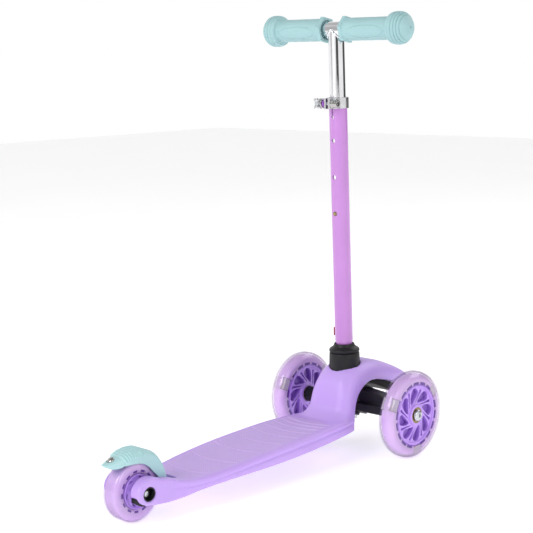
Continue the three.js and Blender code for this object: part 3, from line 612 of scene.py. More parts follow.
# outer y, outer z, inner y, inner z, half width, outer corner radius, from the deck up and over
ARCH_STATIONS = [
    (-96, 47, -45.2, 34.5, 37.2, 10),
    (-86, 53, -44.6, 42, 37.5, 13),
    (-76, 57.8, -43.8, 48, 37.5, 16),
    (-67.5, 65, -42, 58, 37, 19),
    (-63, 76, -39.5, 69, 36.5, 21),
    (-58.5, 90, -34.5, 80, 36, 24),
    (-51, 105.5, -25, 89, 35.2, 25),
    (-36, 119, -12, 95, 34.2, 25),
    (-13, 124.4, 0, 97, 33, 24),
    (13, 123.1, 15, 95.5, 31.5, 23),
    (38, 117, 32, 91.5, 29.8, 21),
    (62, 107.6, 51, 86, 27.5, 17),
    (88, 95.4, 73, 77.5, 24.5, 13.5),
    (107, 83.5, 93, 67.5, 20.5, 10),
    (117, 75, 105, 61, 15.5, 7.5),
    (120.2, 68.5, 113, 60.6, 9, 4.4),
]

FORK_ARM = [
    (-304, 34), (-325, 25.5), (-341, 22.2), (-363, 20.4), (-385, 20.2), (-406, 21.7), (-421, 24),
    (-430, 26.2), (-436.3, 29.2), (-440.5, 33.2), (-442.4, 38), (-442.3, 42), (-440.7, 46.6),
    (-437.7, 50.5), (-432.6, 54.4), (-426, 57.1), (-418.6, 57.8), (-411, 56), (-404, 53),
    (-397.8, 51.1), (-384, 48.2), (-360, 40),
]

DECK_TABLE = curve(DECK_STATIONS, 400)


def deck_at(y):
    """Half width, top and bottom of the deck at a place along it."""
    return [float(np.interp(-y, -DECK_TABLE[:, 0], DECK_TABLE[:, k])) for k in (1, 2, 3)]


def deck_section(half, top, bottom):
    """Right half, from the underside round a shallow flute and the raised lip to the top."""
    right = curve(
        [(half - 8, bottom), (half - 3.2, bottom + 0.1), (half - 1.5, bottom + 1.2),
         (half - 1.0, bottom + 3.4), (half - 0.9, bottom + 0.45 * (top - bottom)),
         (half - 2.1, top - 9.4), (half - 1.7, top - 7.6), (half - 0.4, top - 6.0),
         (half - 0.1, top - 4.4), (half - 0.9, top - 2.0), (half - 2.9, top - 0.5),
         (half - 5.6, top - 0.05), (half - 9.0, top - 0.25)], 40)
    left = right[::-1] * (-1, 1)
    return np.vstack([right, left])


def plank():
    rows = curve(DECK_STATIONS, 150)
    return loft([[(x, y, z) for x, z in deck_section(half, top, bottom)] for y, half, top, bottom in rows])


# Points on each rounded corner of a section.
CORNER_STEPS = 9


def corner(half, low, high, low_radius, high_radius):
    """Section with round lower and upper corners, [x, v] points."""
    out = []
    for x, v, radius, start in (
        (half - low_radius, low + low_radius, low_radius, -90),
        (half - high_radius, high - high_radius, high_radius, 0),
        (high_radius - half, high - high_radius, high_radius, 90),
        (low_radius - half, low + low_radius, low_radius, 180),
    ):
        for step in range(CORNER_STEPS):
            angle = math.radians(start + 90 * step / (CORNER_STEPS - 1))
            out.append((x + radius * math.cos(angle), v + radius * math.sin(angle)))
    return out


def neck_and_arch():
    rings = []
    for oy, oz, iy, iz, half, radius in curve(ARCH_STATIONS, 130):
        inner = np.array((iy, iz))
        up = np.array((oy, oz)) - inner
        depth = np.linalg.norm(up)
        up /= depth
        radius = min(radius, half * 0.8, depth * 0.8)
        section = corner(half, 0, depth, min(4.0, radius / 2), radius)
        rings.append([(x, *(inner + up * v)) for x, v in section])
    return loft(rings)


def inset(outline, amount):
    """The outline moved inwards by an amount."""
    p = np.asarray(outline, float)
    along = np.roll(p, -1, 0) - np.roll(p, 1, 0)
    along /= np.linalg.norm(along, axis=1)[:, None]
    normal = np.stack([along[:, 1], -along[:, 0]], 1)
    area = np.sum(p[:, 0] * np.roll(p[:, 1], -1) - np.roll(p[:, 0], -1) * p[:, 1])
    return p - normal * amount * (1 if area > 0 else -1)


def fork_arm(side):
    outline = curve(FORK_ARM, 110, closed=True)
    rings = []
    for x, amount in ((14, 0), (28.5, 0), (29.9, 0.15), (31, 0.6), (31.7, 1.4), (32, 2.6)):
        rings.append([(side * x, y, z) for y, z in inset(outline, amount)])
    return loft(rings)


def on_rear_axle(shape):
    return shape.moved(ACROSS).at(0, *REAR_AXLE)


# Cells under the deck: spacing, length, and the stretch of deck that they fill.
CELL_PITCH = 40.0
CELL_LENGTH = 36.5
CELLS_FROM, CELLS_TO = -107.0, -320.0


def under_deck_cells():
    """Open cells between the ribs under the deck, in two rows."""
    cells = []
    y = CELLS_FROM
    while y - CELL_PITCH > CELLS_TO:
        ends = [deck_at(y), deck_at(y - CELL_LENGTH)]
        half = min(e[0] for e in ends) - 6
        top = min(e[1] for e in ends) - 4
        for side in (-1, 1):
            x0, x1 = sorted((side * 2.0, side * half))
            cells.append(block(x0, x1, y - CELL_LENGTH, y, 0, top))
        y -= CELL_PITCH
    return joined(cells)


def build_deck():
    shell = fuse(raw_object(plank()), neck_and_arch(), fork_arm(1), fork_arm(-1))
    cutters = [
        under_deck_cells(),
        block(-17, 17, -480, -365, 0, 100),
        rod(21.9, -38, 40, 72).moved(ALONG_COLUMN),
        rod(13.3, -50.5, 0, 48).moved(ALONG_COLUMN),
        rod(4.8, 20, 52, 40).moved(ALONG_KING),
        on_rear_axle(rod(4.3, -40, 40, 40)),
        rod(2.7, -23, 23, 32).moved(ACROSS).at(0, *BRAKE_PIN),
    ]
    for side in (-1, 1):
        recess = rod(1, 20.5, 40, 64).scaled(9.8, 9.0, 1).moved(ACROSS).scaled(side, 1, 1)
        cutters.append(recess.at(0, -WHEELBASE, REAR_AXLE[1] + 0.6))
        x0, x1 = sorted((side * 10, side * 28))
        cutters.append(block(x0, x1, -450, -434.4, 10, 36.4))
    cut(shell, *cutters)
    melted(shell, 0.95, 4)
    soften_neck_foot(shell.data)
    mark_tread(shell.data)
    piece(shell, "deck_shell", "deck", "deck", ["deck_body"], sharp=60)


def positions(mesh):
    co = np.empty(len(mesh.vertices) * 3)
    mesh.vertices.foreach_get("co", co)
    return co.reshape(-1, 3)


# Middle of the corner between neck and deck and how far the softening reaches, in y and z.
NECK_FOOT = (-76, 57)
NECK_FOOT_REACH = (12, 10)


def soften_neck_foot(mesh):
    """Rounds the corner between the neck and the top of the deck by averaging the outer skin there."""
    co = positions(mesh)
    top = np.interp(-co[:, 1], -DECK_TABLE[:, 0], DECK_TABLE[:, 2])
    away = (co[:, 1:] - NECK_FOOT) / NECK_FOOT_REACH
    weight = np.exp(-(away[:, 0] ** 2 + away[:, 1] ** 2)) * 0.9
    weight[(co[:, 2] < top - 1.2) | (np.abs(co[:, 0]) > 38) | (weight < 0.02)] = 0
    edges = np.empty(len(mesh.edges) * 2, int)
    mesh.edges.foreach_get("vertices", edges)
    a, b = edges.reshape(-1, 2).T
    keep = (weight[a] > 0) | (weight[b] > 0)
    a, b = a[keep], b[keep]
    count = np.bincount(a, minlength=len(co)) + np.bincount(b, minlength=len(co))
    count[count == 0] = 1
    for _ in range(40):
        total = np.zeros_like(co)
        for k in range(3):
            total[:, k] = np.bincount(a, co[b, k], len(co)) + np.bincount(b, co[a, k], len(co))
        co += (total / count[:, None] - co) * weight[:, None]
    mesh.vertices.foreach_set("co", co.ravel())
    mesh.update()


# How far behind the front axle the textured tread starts and ends.
TREAD_FRONT, TREAD_REAR = 92, 362


def mark_tread(mesh):
    """A point attribute that is 1 on the textured part of the deck's top and fades over its border."""
    co = positions(mesh)
    half = np.interp(-co[:, 1], -DECK_TABLE[:, 0], DECK_TABLE[:, 1])
    top = np.interp(-co[:, 1], -DECK_TABLE[:, 0], DECK_TABLE[:, 2])
    side = np.clip((half - 8.6 - np.abs(co[:, 0])) / 1.6, 0, 1)
    front = np.clip((-co[:, 1] - TREAD_FRONT - 0.0035 * co[:, 0] ** 2) / 3, 0, 1)
    rear = np.clip((co[:, 1] + TREAD_REAR) / 3, 0, 1)
    upper = (np.abs(co[:, 2] - top) < 1.4).astype(float)
    value = side * front * rear * upper
    layer = mesh.attributes.new("tread", "FLOAT", "POINT")
    layer.data.foreach_set("value", value.astype(np.float32))


def build_tread_lines():
    """Fine raised lines across the tread, bowed forward at their ends and closer towards the neck."""
    lines = []
    for y0 in (-100, -112, -126, -144, -168, -200, -240, -284, -330):
        path = []
        half = deck_at(y0 - 4)[0] - 9.5
        for x in np.linspace(-half, half, 46):
            y = y0 - 9 * (1 - (x / half) ** 2)
            path.append((x, y, deck_at(y)[1] - 0.2))
        lines.append(sweep(path, 0.55, 10))
    piece(raw_object(joined(lines)), "tread_lines", "deck", "tread_line", sharp=80)


def build_column_parts():
    arch = melted(cad_copy("arch_block"), 0.8, 4)
    piece(arch, "arch_pad", "deck", "pad_black", ["arch_block"], 60)

    base = [(13.7, -37.7), (21.5, -37.7), (21.55, -30), (21.3, -20), (21.0, -12.4), (20.6, -11.2),
            (19.4, -10.6), (13.7, -10.6)]
    collar = bevelled(on_column(revolve(base, 128)), 0.35, 2, 25)
    piece(collar, "collar_lower", "deck", "black", ["collar_base"])

    flare = curve([(20.2, -10.1), (21.1, -8.8), (21.1, -7.2), (20.2, -5.6), (17.6, -3.9), (15.4, -2.0),
                   (14.5, -0.2), (14.1, 1.0), (13.5, 1.7)], 26)
    cap = [(13.7, -10.2), *flare, (12.9, 1.7), (12.8, 0.6), (13.7, -1.0)]
    upper = on_column(revolve(cap, 128))
    piece(upper, "collar_upper", "deck", "black", ["collar_cap"], 40)

    foot = curve([(11.05, 0.6), (11.5, 2.0), (12.2, 4.4), (12.5, 7.0)], 10)
    profile = [(9.8, -48), (11, -48), (11, 0.4), *foot, (12.5, 342.1), (12.2, 342.5), (11.5, 342.5),
               (11.3, 342.3), (11.3, 8.4), (9.8, 4)]
    column = cut(
        raw_object(revolve(profile, 128)),
        block(-1.15, 1.15, -20, -5, 317, 350),
        *[rod(r, 5, 20, 32).moved(BACKWARDS).at(0, 0, h)
          for r, h in ((2.2, 317), (3.2, BUTTON_Z), (3.2, BUTTON_Z + 50), (3.2, BUTTON_Z + 100))],
    )
    column.data.transform(ALONG_COLUMN)
    piece(column, "column_pipe", "deck", "paint", ["column_tube"], 30)

    strip = []
    for y in np.linspace(-6, 6, 22):
        x = -13.0 - 0.5 * math.cos(y / 6 * 1.2)
        strip.append([(x - dx, y, z) for dx, z in ((0, 11.6), (0, 23.4), (0.36, 23.4), (0.36, 11.6))])
    tag = bevelled(on_column(loft(strip)), 0.1, 2, 40)
    piece(tag, "column_label", "deck", "fabric", ["column_tag"], 40)


# ---------------------------------------------------------------- clamp and lever


def on_clamp_bolt(shape):
    return shape.moved(ACROSS).at(0, CLAMP_BOLT_Y, CLAMP_Z)


def at_lever_pin(shape):
    return shape.at(LEVER_PIN_X, CLAMP_BOLT_Y, CLAMP_Z)


# Lower and upper end of the clamp, half the gap in it, and the outline of its right ear.
CLAMP_ENDS = (328.5, 343.0)
CLAMP_HALF_GAP = 1.7
CLAMP_EAR = [(CLAMP_HALF_GAP, -10), (5, -10), (5, -24.2), (CLAMP_HALF_GAP, -24.2)]


def build_clamp():
    low, high = CLAMP_ENDS
    band = rod(14.9, low, high, 128)
    right = rounded_outline(CLAMP_EAR, 1.2)
    left = [(-x, y) for x, y in right]
    ring = fuse(raw_object(band), prism(right, low, high), prism(left, low, high))
    cutters = [
        rod(12.8, low - 1, high + 1, 128),
        block(-CLAMP_HALF_GAP, CLAMP_HALF_GAP, -30, -9, low - 1, high + 1),
        on_clamp_bolt(rod(2.9, -30, 30, 32)),
    ]
    cut(ring, *cutters)
    bevelled(ring, 0.45, 3, 40)
    ring.data.transform(ALONG_COLUMN)
    piece(ring, "clamp_band", "deck", "polished", ["clamp_ring"], 30)

    eye = at_lever_pin(rod(4.2, -2.6, 2.6, 48))
    bolt = fuse(raw_object(eye), on_clamp_bolt(rod(2.5, LEVER_PIN_X, 12.2, 32)))
    cut(bolt, at_lever_pin(rod(1.9, -8, 8, 32)))
    bolt.data.transform(ALONG_COLUMN)
    piece(bolt, "clamp_eye_bolt", "deck", "steel", ["clamp_bolt"])

    outer = [(0, 5.3), (4.9, 5.3), (5.3, 5.7), (5.3, 7.6), (4.8, 8.0), (4.8, 8.5), (5.3, 8.9), (5.3, 13.4),
             (4.9, 13.7), (4.9, 14.1), (5.3, 14.4), (5.2, 15.9), (4.7, 16.4), (4.2, 16.5), (0, 16.5)]
    nut = raw_object(revolve(outer, 64))
    cut(nut, rod(2.8, 0, 12.6, 32), rod(3.1, 12.5, 30, 6))
    bevelled(nut, 0.15, 2, 40)
    nut.data.transform(ALONG_COLUMN @ Matrix.Translation((0, CLAMP_BOLT_Y, CLAMP_Z)) @ ACROSS)
    piece(nut, "clamp_barrel_nut", "deck", "dark_chrome", ["clamp_nut"], 30)

    washer = revolve([(2.8, -7.9), (4.9, -7.9), (5.3, -7.5), (5.3, -5.7), (4.9, -5.3), (2.8, -5.3)], 64)
    item = on_column(on_clamp_bolt(washer))
    piece(item, "clamp_seat_washer", "deck", "washer", ["clamp_washer"])

    saddle = revolve([(2.8, -12.8), (4.5, -12.8), (5.1, -12.3), (5.8, -11.1), (6.3, -10.2), (6.4, -9.8),
                      (6.4, -8.5), (6.1, -8.2), (2.8, -8.2)], 64)
    item = on_column(on_clamp_bolt(saddle))
    piece(item, "clamp_cam_saddle", "deck", "dark_chrome", ["clamp_saddle"])

    pin = revolve([(0, -6.9), (1.3, -6.9), (1.6, -6.5), (1.6, 6.5), (1.3, 6.9), (0, 6.9)], 32)
    item = on_column(at_lever_pin(pin))
    piece(item, "lever_barrel_pin", "deck", "steel", ["lever_pin"])
    build_lever()


def build_lever():
    x, y = LEVER_PIN_X, CLAMP_BOLT_Y
    cheeks = at_lever_pin(rod(5.6, -7, 7, 64))
    arm = curve(
        [(x - 5.4, y - 1), (x - 3, y + 3), (x - 1, y + 8), (x + 1.6, y + 22), (x + 1.2, y + 40),
         (x - 0.2, y + 50), (x - 1.6, y + 52.4), (x - 3.2, y + 50), (x - 3.4, y + 40), (x - 3, y + 22),
         (x - 5.2, y + 9), (x - 5.6, y + 3)], 70, closed=True)
    blade = prism(arm, CLAMP_Z - 6, CLAMP_Z + 6)
    lever = fuse(raw_object(cheeks), blade)
    cutters = [
        block(x - 12, x + 12, y - 12, y + 5.4, CLAMP_Z - 3, CLAMP_Z + 3),
        at_lever_pin(rod(1.9, -20, 20, 32)),
    ]
    cut(lever, *cutters)
    bevelled(lever, 0.6, 3, 40)
    lever.data.transform(ALONG_COLUMN)
    piece(lever, "cam_lever", "quick_release", "polished", ["quick_release_lever"], 30)


# ---------------------------------------------------------------- handlebar and grips


def build_handlebar():
    post = rod(POST_R, 148, BAR_HEIGHT, 128)
    cross = rod(POST_R, -112, 112, 128).moved(ACROSS).at(0, 0, BAR_HEIGHT)
    bar = fuse(raw_object(post), cross)
    bores = [
        rod(POST_BORE_R, 143, BAR_HEIGHT, 96),
        rod(POST_BORE_R, -150, 150, 96).moved(ACROSS).at(0, 0, BAR_HEIGHT),
        rod(3.2, 4, 20, 32).moved(BACKWARDS).at(0, 0, BUTTON_Z),
    ]
    cut(bar, *bores)
    bar.data.transform(ALONG_COLUMN)
    piece(bar, "bar_tube", "handlebar", "chrome", ["handlebar_tube"], 30)
    build_weld()

    button = revolve([(0, 7.3), (4.1, 7.3), (4.1, 8.1), (2.9, 8.1), (2.9, 12.6), (2.6, 13.5), (1.8, 14.2),
                      (0.9, 14.5), (0, 14.6)], 48)
    item = on_column(button.moved(BACKWARDS).at(0, 0, BUTTON_Z))
    piece(item, "height_button", "detent", "brass", ["detent_button"])
    for side in (1, -1):
        build_grip(side)


def build_weld():
    """Bead where the post meets the cross tube, with the ripple of a run weld."""
    path = []
    for t in np.linspace(0, 2 * math.pi, 161)[:-1]:
        x, y = POST_R * math.cos(t), POST_R * math.sin(t)
        path.append((x, y, BAR_HEIGHT - math.sqrt(max(0.0, POST_R**2 - y * y))))
    path = np.array(path)
    rings = []
    for i, p in enumerate(path):
        along = path[(i + 1) % len(path)] - path[i - 1]
        along /= np.linalg.norm(along)
        outward = np.array((p[0], p[1], -4.0))
        outward -= along * outward.dot(along)
        outward /= np.linalg.norm(outward)
        up = np.cross(outward, along)
        size = 2.0 + 0.3 * math.cos(i * 2 * math.pi / 8)
        rings.append([p + size * (math.cos(a) * outward + math.sin(a) * up)
                      for a in np.linspace(0, 2 * math.pi, 12, endpoint=False)])
    rings = np.array(rings)
    n, m = rings.shape[:2]
    faces = [(i * m + k, i * m + (k + 1) % m, (i + 1) % n * m + (k + 1) % m, (i + 1) % n * m + k)
             for i in range(n) for k in range(m)]
    bead = on_column(Shape(rings.reshape(-1, 3), faces))
    piece(bead, "bar_weld", "handlebar", "chrome", sharp=70)


GRIP_START = 16.0
FLANGE_END = 21.5
FILLET_END = 24.5
FLANGE_HALF = 16.2
FLANGE_FACE = math.radians(12.5)
GRIP_R = 15.2
GRIP_SPINE = [
    (GRIP_R, 24.5), (GRIP_R, 34), (GRIP_R, 60), (GRIP_R, 86), (GRIP_R, 93), (15.3, 94.3), (16.0, 95.2),
    (17.6, 95.8), (19.4, 96.6), (20.5, 98.4), (21.2, 101), (21.5, 104), (21.5, 107), (21.2, 110.4),
    (20.1, 113.7), (17.6, 117), (14.6, 119.6), (9.4, 122.7), (4, 124.4), (0.001, 124.75),
]
# place along the bar, depth and half width
GRIP_GROOVES = [
    (101.2, 0.7, 0.7), (106.5, 1.2, 0.7), (111.2, 1.2, 0.65), (114.9, 1.3, 0.6), (118.3, 1.1, 0.5),
]


def smooth_step(value, low, high):
    t = np.clip((value - low) / (high - low), 0, 1)
    return t * t * (3 - 2 * t)


def grip_radius(x, base, angle):
    """Radius of the grip's skin at x mm from the middle, and an angle round it from straight up."""
    if x < FILLET_END:
        corner_turn = math.remainder(angle - FLANGE_FACE, math.pi / 3)
        hexagon = FLANGE_HALF / math.cos(corner_turn)
        if x <= FLANGE_END:
            return hexagon - 0.7 * max(0.0, 1 - (x - GRIP_START) / 0.6) ** 2
        along = (x - FLANGE_END) / (FILLET_END - FLANGE_END)
        return GRIP_R + (hexagon - 0.5 - GRIP_R) * (1 - math.sqrt(1 - (1 - along) ** 2))
    radius = base
    for centre in (math.pi / 2 + 0.22, -math.pi / 2 - 0.22):
        around = math.remainder(angle - centre, 2 * math.pi) * GRIP_R
        oval = math.sqrt(((x - 59.5) / 31) ** 2 + (around / 8.6) ** 2)
        pad = 0.5 * float(1 - smooth_step(oval, 0.9, 1.0))
        radius += pad - 0.6 * math.exp(-(((oval - 1.05) / 0.05) ** 2))
    for centre in (0, math.pi):
        around = abs(math.remainder(angle - centre, 2 * math.pi)) * GRIP_R
        for notch in (45, 67):
            radius -= 0.6 * math.exp(-(((x - notch) / 1.2) ** 2) - (around / 4) ** 2)
    return radius


def build_grip(side):
    fine = curve(GRIP_SPINE, 420)
    rows = [(GRIP_R, x) for x in (GRIP_START, 16.15, 16.35, 16.6, 18, 19.5, 21, FLANGE_END)]
    rows += [(GRIP_R, FLANGE_END + (FILLET_END - FLANGE_END) * t**2) for t in np.linspace(0.06, 0.98, 12)]
    slope = np.gradient(fine, axis=0)
    slope /= np.linalg.norm(slope, axis=1)[:, None]
    for (r, x), (dr, dx) in zip(fine, slope):
        depth = sum(d * math.exp(-(((x - groove) / width) ** 2)) for groove, d, width in GRIP_GROOVES)
        rows.append((max(0.001, r - depth * dx), x + depth * dr))
    segments = 144
    rings = []
    for base, x in rows:
        ring = []
        for k in range(segments):
            angle = 2 * math.pi * k / segments
            r = grip_radius(x, base, angle) if x < 122 else base
            ring.append((x, r * math.sin(angle), r * math.cos(angle)))
        rings.append(ring)
    skin = raw_object(loft(rings))
    bores = [
        rod(11.3, 0, 112.5, 96).moved(ACROSS),
        rod(13.4, 0, 19, 96).moved(ACROSS),
        rod(1.0, 100, 130, 24).moved(ACROSS),
    ]
    cut(skin, *bores)
    place = ALONG_COLUMN @ Matrix.Translation((0, 0, BAR_HEIGHT)) @ Matrix.Diagonal((side, 1, 1, 1))
    skin.data.transform(place)
    if side < 0:
        skin.data.flip_normals()
    name = "right" if side > 0 else "left"
    piece(skin, f"hand_grip_{name}", "handlebar", "mint_grip", [f"grip_{name}"], 28)


# ---------------------------------------------------------------- truck


def build_truck():
    beam = melted(cad_copy("truck_beam"), 0.9, 5)
    piece(beam, "truck_casting", "truck", "black", ["truck_beam"], 60)
    for node, name in (("lean_bushing_upper", "bushing_upper"), ("lean_bushing_lower", "bushing_lower")):
        rounded_copy(node, name, "deck", "bushing", 0.5, 3)
    rounded_copy("king_bolt", "king_pin", "deck", "steel", 0.3)


# ---------------------------------------------------------------- wheels

LIGHT_ANGLES = (0.6, 0.6 + 2 * math.pi / 3, 0.6 + 4 * math.pi / 3)
FRONT_POCKETS, REAR_POCKETS = 8, 6
COIL_TURNS = 7
WEB_R = 40.8
WEB_HALF = 1.9
BEARING_HALF = 3.5
BEARING_OUT = 8.4


def polar(radius, angle):
    return (radius * math.cos(angle), radius * math.sin(angle))


# Outline of one front pocket and middle line of the slot beside it: radius, and degrees past the
# pocket's fat end.
FRONT_POCKET = [
    (17.5, 27), (21, 26), (27, 19), (33, 12), (36.6, 5), (37.2, -3), (35, -10), (30.5, -15), (25, -9),
    (20.5, 2), (17.8, 14), (17, 22),
]
FRONT_SLOT = [(16.8, 1), (20.5, -8.6), (25, -16), (30.5, -21), (35.5, -24.5)]
FIRST_POCKET = math.radians(3)


def front_pocket(start, turn):
    return [polar(r, start + turn * math.radians(d)) for r, d in curve(FRONT_POCKET, 64, closed=True)]


def front_slot(start, turn):
    """A slot that widens and leans round as it runs out."""
    middle = [polar(r, start + turn * math.radians(d)) for r, d in curve(FRONT_SLOT, 20)]
    middle = np.array(middle)
    along = np.gradient(middle, axis=0)
    along /= np.linalg.norm(along, axis=1)[:, None]
    aside = np.stack([-along[:, 1], along[:, 0]], 1)
    half = np.interp(np.arange(20), (0, 9, 19), (0.5, 1.0, 2.0))[:, None]
    return np.vstack([middle + aside * half, (middle - aside * half)[::-1]])


def rear_pocket(start):
    """Narrow pocket between the ribs of the rear wheel."""
    inner, outer, lean = 15.4, 18.8, 0.3
    left, right = [], []
    for t in np.linspace(0.02, 0.98, 14):
        r = inner + (outer - inner) * t
        half = 2.5 * math.sin(math.pi * t) ** 0.5 / r
        left.append(polar(r, start + lean * t - half))
        right.append(polar(r, start + lean * t + half))
    return left + right[::-1]


def build_core(front, turn):
    """Moulded wheel centre: hub, dished web with pockets and slots on both sides, and rim."""
    if front:
        face = 8.8
        half = [(15.1, face + 0.7), (15.9, face), (37.9, face), (38.3, face + 0.6), (38.5, 10.5),
                (38.9, 11.0), (40.1, 11.0), (40.6, 10.6), (40.7, 10.2), (42.8, 10.1)]
    else:
        face = 9.4
        half = [(15.1, face + 0.7), (15.9, face), (18.4, face), (19.1, face + 0.7), (19.7, 10.6),
                (20.8, 11.1), (21.4, 10.7)]
    right = [(11.15, 11.9), (13.9, 11.9), (14.6, 11.3), *half]
    core = raw_object(revolve([(r, -h) for r, h in right] + right[::-1], 160))
    cutters = []
    for k in range(FRONT_POCKETS if front else REAR_POCKETS):
        for low, high, slot_low, slot_high in ((2.2, 20, 4.8, 20), (-20, -2.2, -20, -4.8)):
            if front:
                start = turn * (FIRST_POCKET + math.pi / 4 * k)
                cutters.append(prism(front_pocket(start, turn), low, high))
                cutters.append(prism(front_slot(start, turn), slot_low, slot_high))
            else:
                cutters.append(prism(rear_pocket(2 * math.pi * k / REAR_POCKETS), low, high))
    cut(core, joined(cutters))
    bevelled(core, 0.3, 2, 30)
    # Painted shade: a depth attribute, 1 within 3 mm of the wheel's middle plane and 0 from 7.6 mm out, so
    # the core material darkens the pockets' bottoms.
    height = np.abs(positions(core.data)[:, 2])
    depth = np.clip((7.6 - height) / 4.6, 0, 1)
    core.data.attributes.new("depth", "FLOAT", "POINT").data.foreach_set("value", depth.astype(np.float32))
    return core


# Half sections of the front tyre, radius and distance from its middle: the outside, the inside of
# the clear layer that laps over the core, and the milky body under it.
FRONT_OUTSIDE = [
    (41.0, 10.3), (41.15, 10.9), (41.8, 11.4), (43.5, 11.75), (47, 11.95), (52, 12.0), (54.8, 11.3),
    (57.3, 9.6), (59.1, 6.8), (60, 3.0), (60, 0),
]
FRONT_LAYER = [
    (41.35, 10.3), (41.6, 10.5), (43, 10.56), (45.5, 10.62), (48, 10.75), (52, 10.8), (53.6, 10.1),
    (56.1, 8.4), (57.9, 5.6), (58.8, 1.8), (58.8, 0),
]
FRONT_BODY = [
    (43.15, 10.3), (43.4, 10.45), (45.5, 10.5), (48, 10.5), (50.4, 10.1), (52.4, 9.2), (54.4, 7.4),
    (55.8, 4.8), (56.4, 1.7), (56.4, 0),
]


def rear_half(offset):
    """Rear tyre section from the rim round one shoulder to the crown, drawn in by an offset."""
    half = 12.0 - offset
    crown = REAR_WHEEL_R - offset
    return [
        (21.9, half - 1.7), (22.8, half - 1.0), (24.6, half - 0.45), (27.6, half - 0.1), (30.8, half),
        (crown - 3.4, half - 0.25), (crown - 1.7, half - 1.1), (crown - 0.7, half - 2.4),
        (crown - 0.2, half - 4.4), (crown, half - 7), (crown, 0.0),
    ]


def whole_section(half):
    """Both sides of a tyre section, from one edge over the crown to the other."""
    widest = max(r for r, _ in half)
    side = [(min(r, widest), h) for r, h in curve(half, 30)]
    return side + [(r, -h) for r, h in reversed(side[:-1])]


def arc_pad(inner, outer, angle, half):
    """Outline of a short piece of a ring."""
    pad = [polar(inner, angle + t) for t in np.linspace(-half, half, 9)]
    return pad + [polar(outer, angle + t) for t in np.linspace(half, -half, 9)]


def dash_angles(front):
    """Places round a wheel of the dark dashes, which leave room for the lights."""
    count = 18 if front else 13
    angles = [2 * math.pi * (k + 0.5) / count for k in range(count)]
    if not front:
        return angles
    return [a for a in angles if min(abs(math.remainder(a - b, 2 * math.pi)) for b in LIGHT_ANGLES) > 0.24]


def build_dashes(front):
    """Dark pads that show through the clear layer at the root of the tyre."""
    inner, outer, half, low, high = (42.0, 45.5, 0.126, 9.4, 10.5) if front else (23.8, 26.2, 0.12, 8.6, 10.2)
    pads = []
    for angle in dash_angles(front):
        for side in (1, -1):
            z0, z1 = sorted((side * low, side * high))
            pads.append(prism(arc_pad(inner, outer, angle, half), z0, z1))
    return raw_object(joined(pads))


def build_tyre(front):
    """Milky urethane body with room for the dashes and, at the front, windows for the lights."""
    body = raw_object(revolve(whole_section(FRONT_BODY if front else rear_half(1.3)), 160))
    inner, outer, half, low = (41.8, 45.7, 0.13, 9.3) if front else (23.6, 26.4, 0.13, 8.5)
    marks = []
    for angle in dash_angles(front):
        for z0, z1 in ((low, 14), (-14, -low)):
            marks.append(prism(arc_pad(inner, outer, angle, half), z0, z1))
    if front:
        for angle in LIGHT_ANGLES:
            window = block(-8.8, 8.8, 41, 55.4, -14, 14).moved(Matrix.Rotation(angle - math.pi / 2, 4, "Z"))
            marks.append(window)
    cut(body, joined(marks))
    return bevelled(body, 0.2, 2, 35)


def build_light(angle):
    """Clear block with a lamp on a board and a coil inside it."""
    outline = rounded_outline([(-8.5, 44.3), (8.5, 44.3), (8.5, 54.2), (-8.5, 54.2)], 1.2, 6)
    case = prism(outline, -9.8, 9.8)
    lamp = revolve([(0, 0), (1.6, 0), (1.6, 2.4), (1.3, 3.4), (0.7, 4.0), (0, 4.2)], 32)
    inside = block(-6.5, 6.5, 45.0, 45.8, -4.5, 4.5)
    lamps = lamp.moved(Matrix.Rotation(-math.pi / 2, 4, "X")).at(3.4, 45.9, 0)
    wound = 2 * math.pi * COIL_TURNS
    turns = []
    for t in np.linspace(0, wound, 150):
        turns.append((-3.2 + 1.9 * math.cos(t), 48.0 + 1.9 * math.sin(t), -3.6 + 7.2 * t / wound))
    coil = sweep(turns, 0.42, 6)
    turn = Matrix.Rotation(angle - math.pi / 2, 4, "Z")
    return case.moved(turn), (inside + lamps).moved(turn), coil.moved(turn)


def build_bearing(centre):
    """Outer race, shield and inner race of a skate bearing."""
    w = BEARING_HALF
    half = [(4.3, w), (6.1, w), (6.4, w - 0.35), (6.4, w - 0.6), (9.2, w - 0.6), (9.2, w - 0.3), (9.6, w),
            (10.8, w), (11.0, w - 0.25)]
    return revolve([(r, centre - h) for r, h in half] + [(r, centre + h) for r, h in reversed(half)], 96)


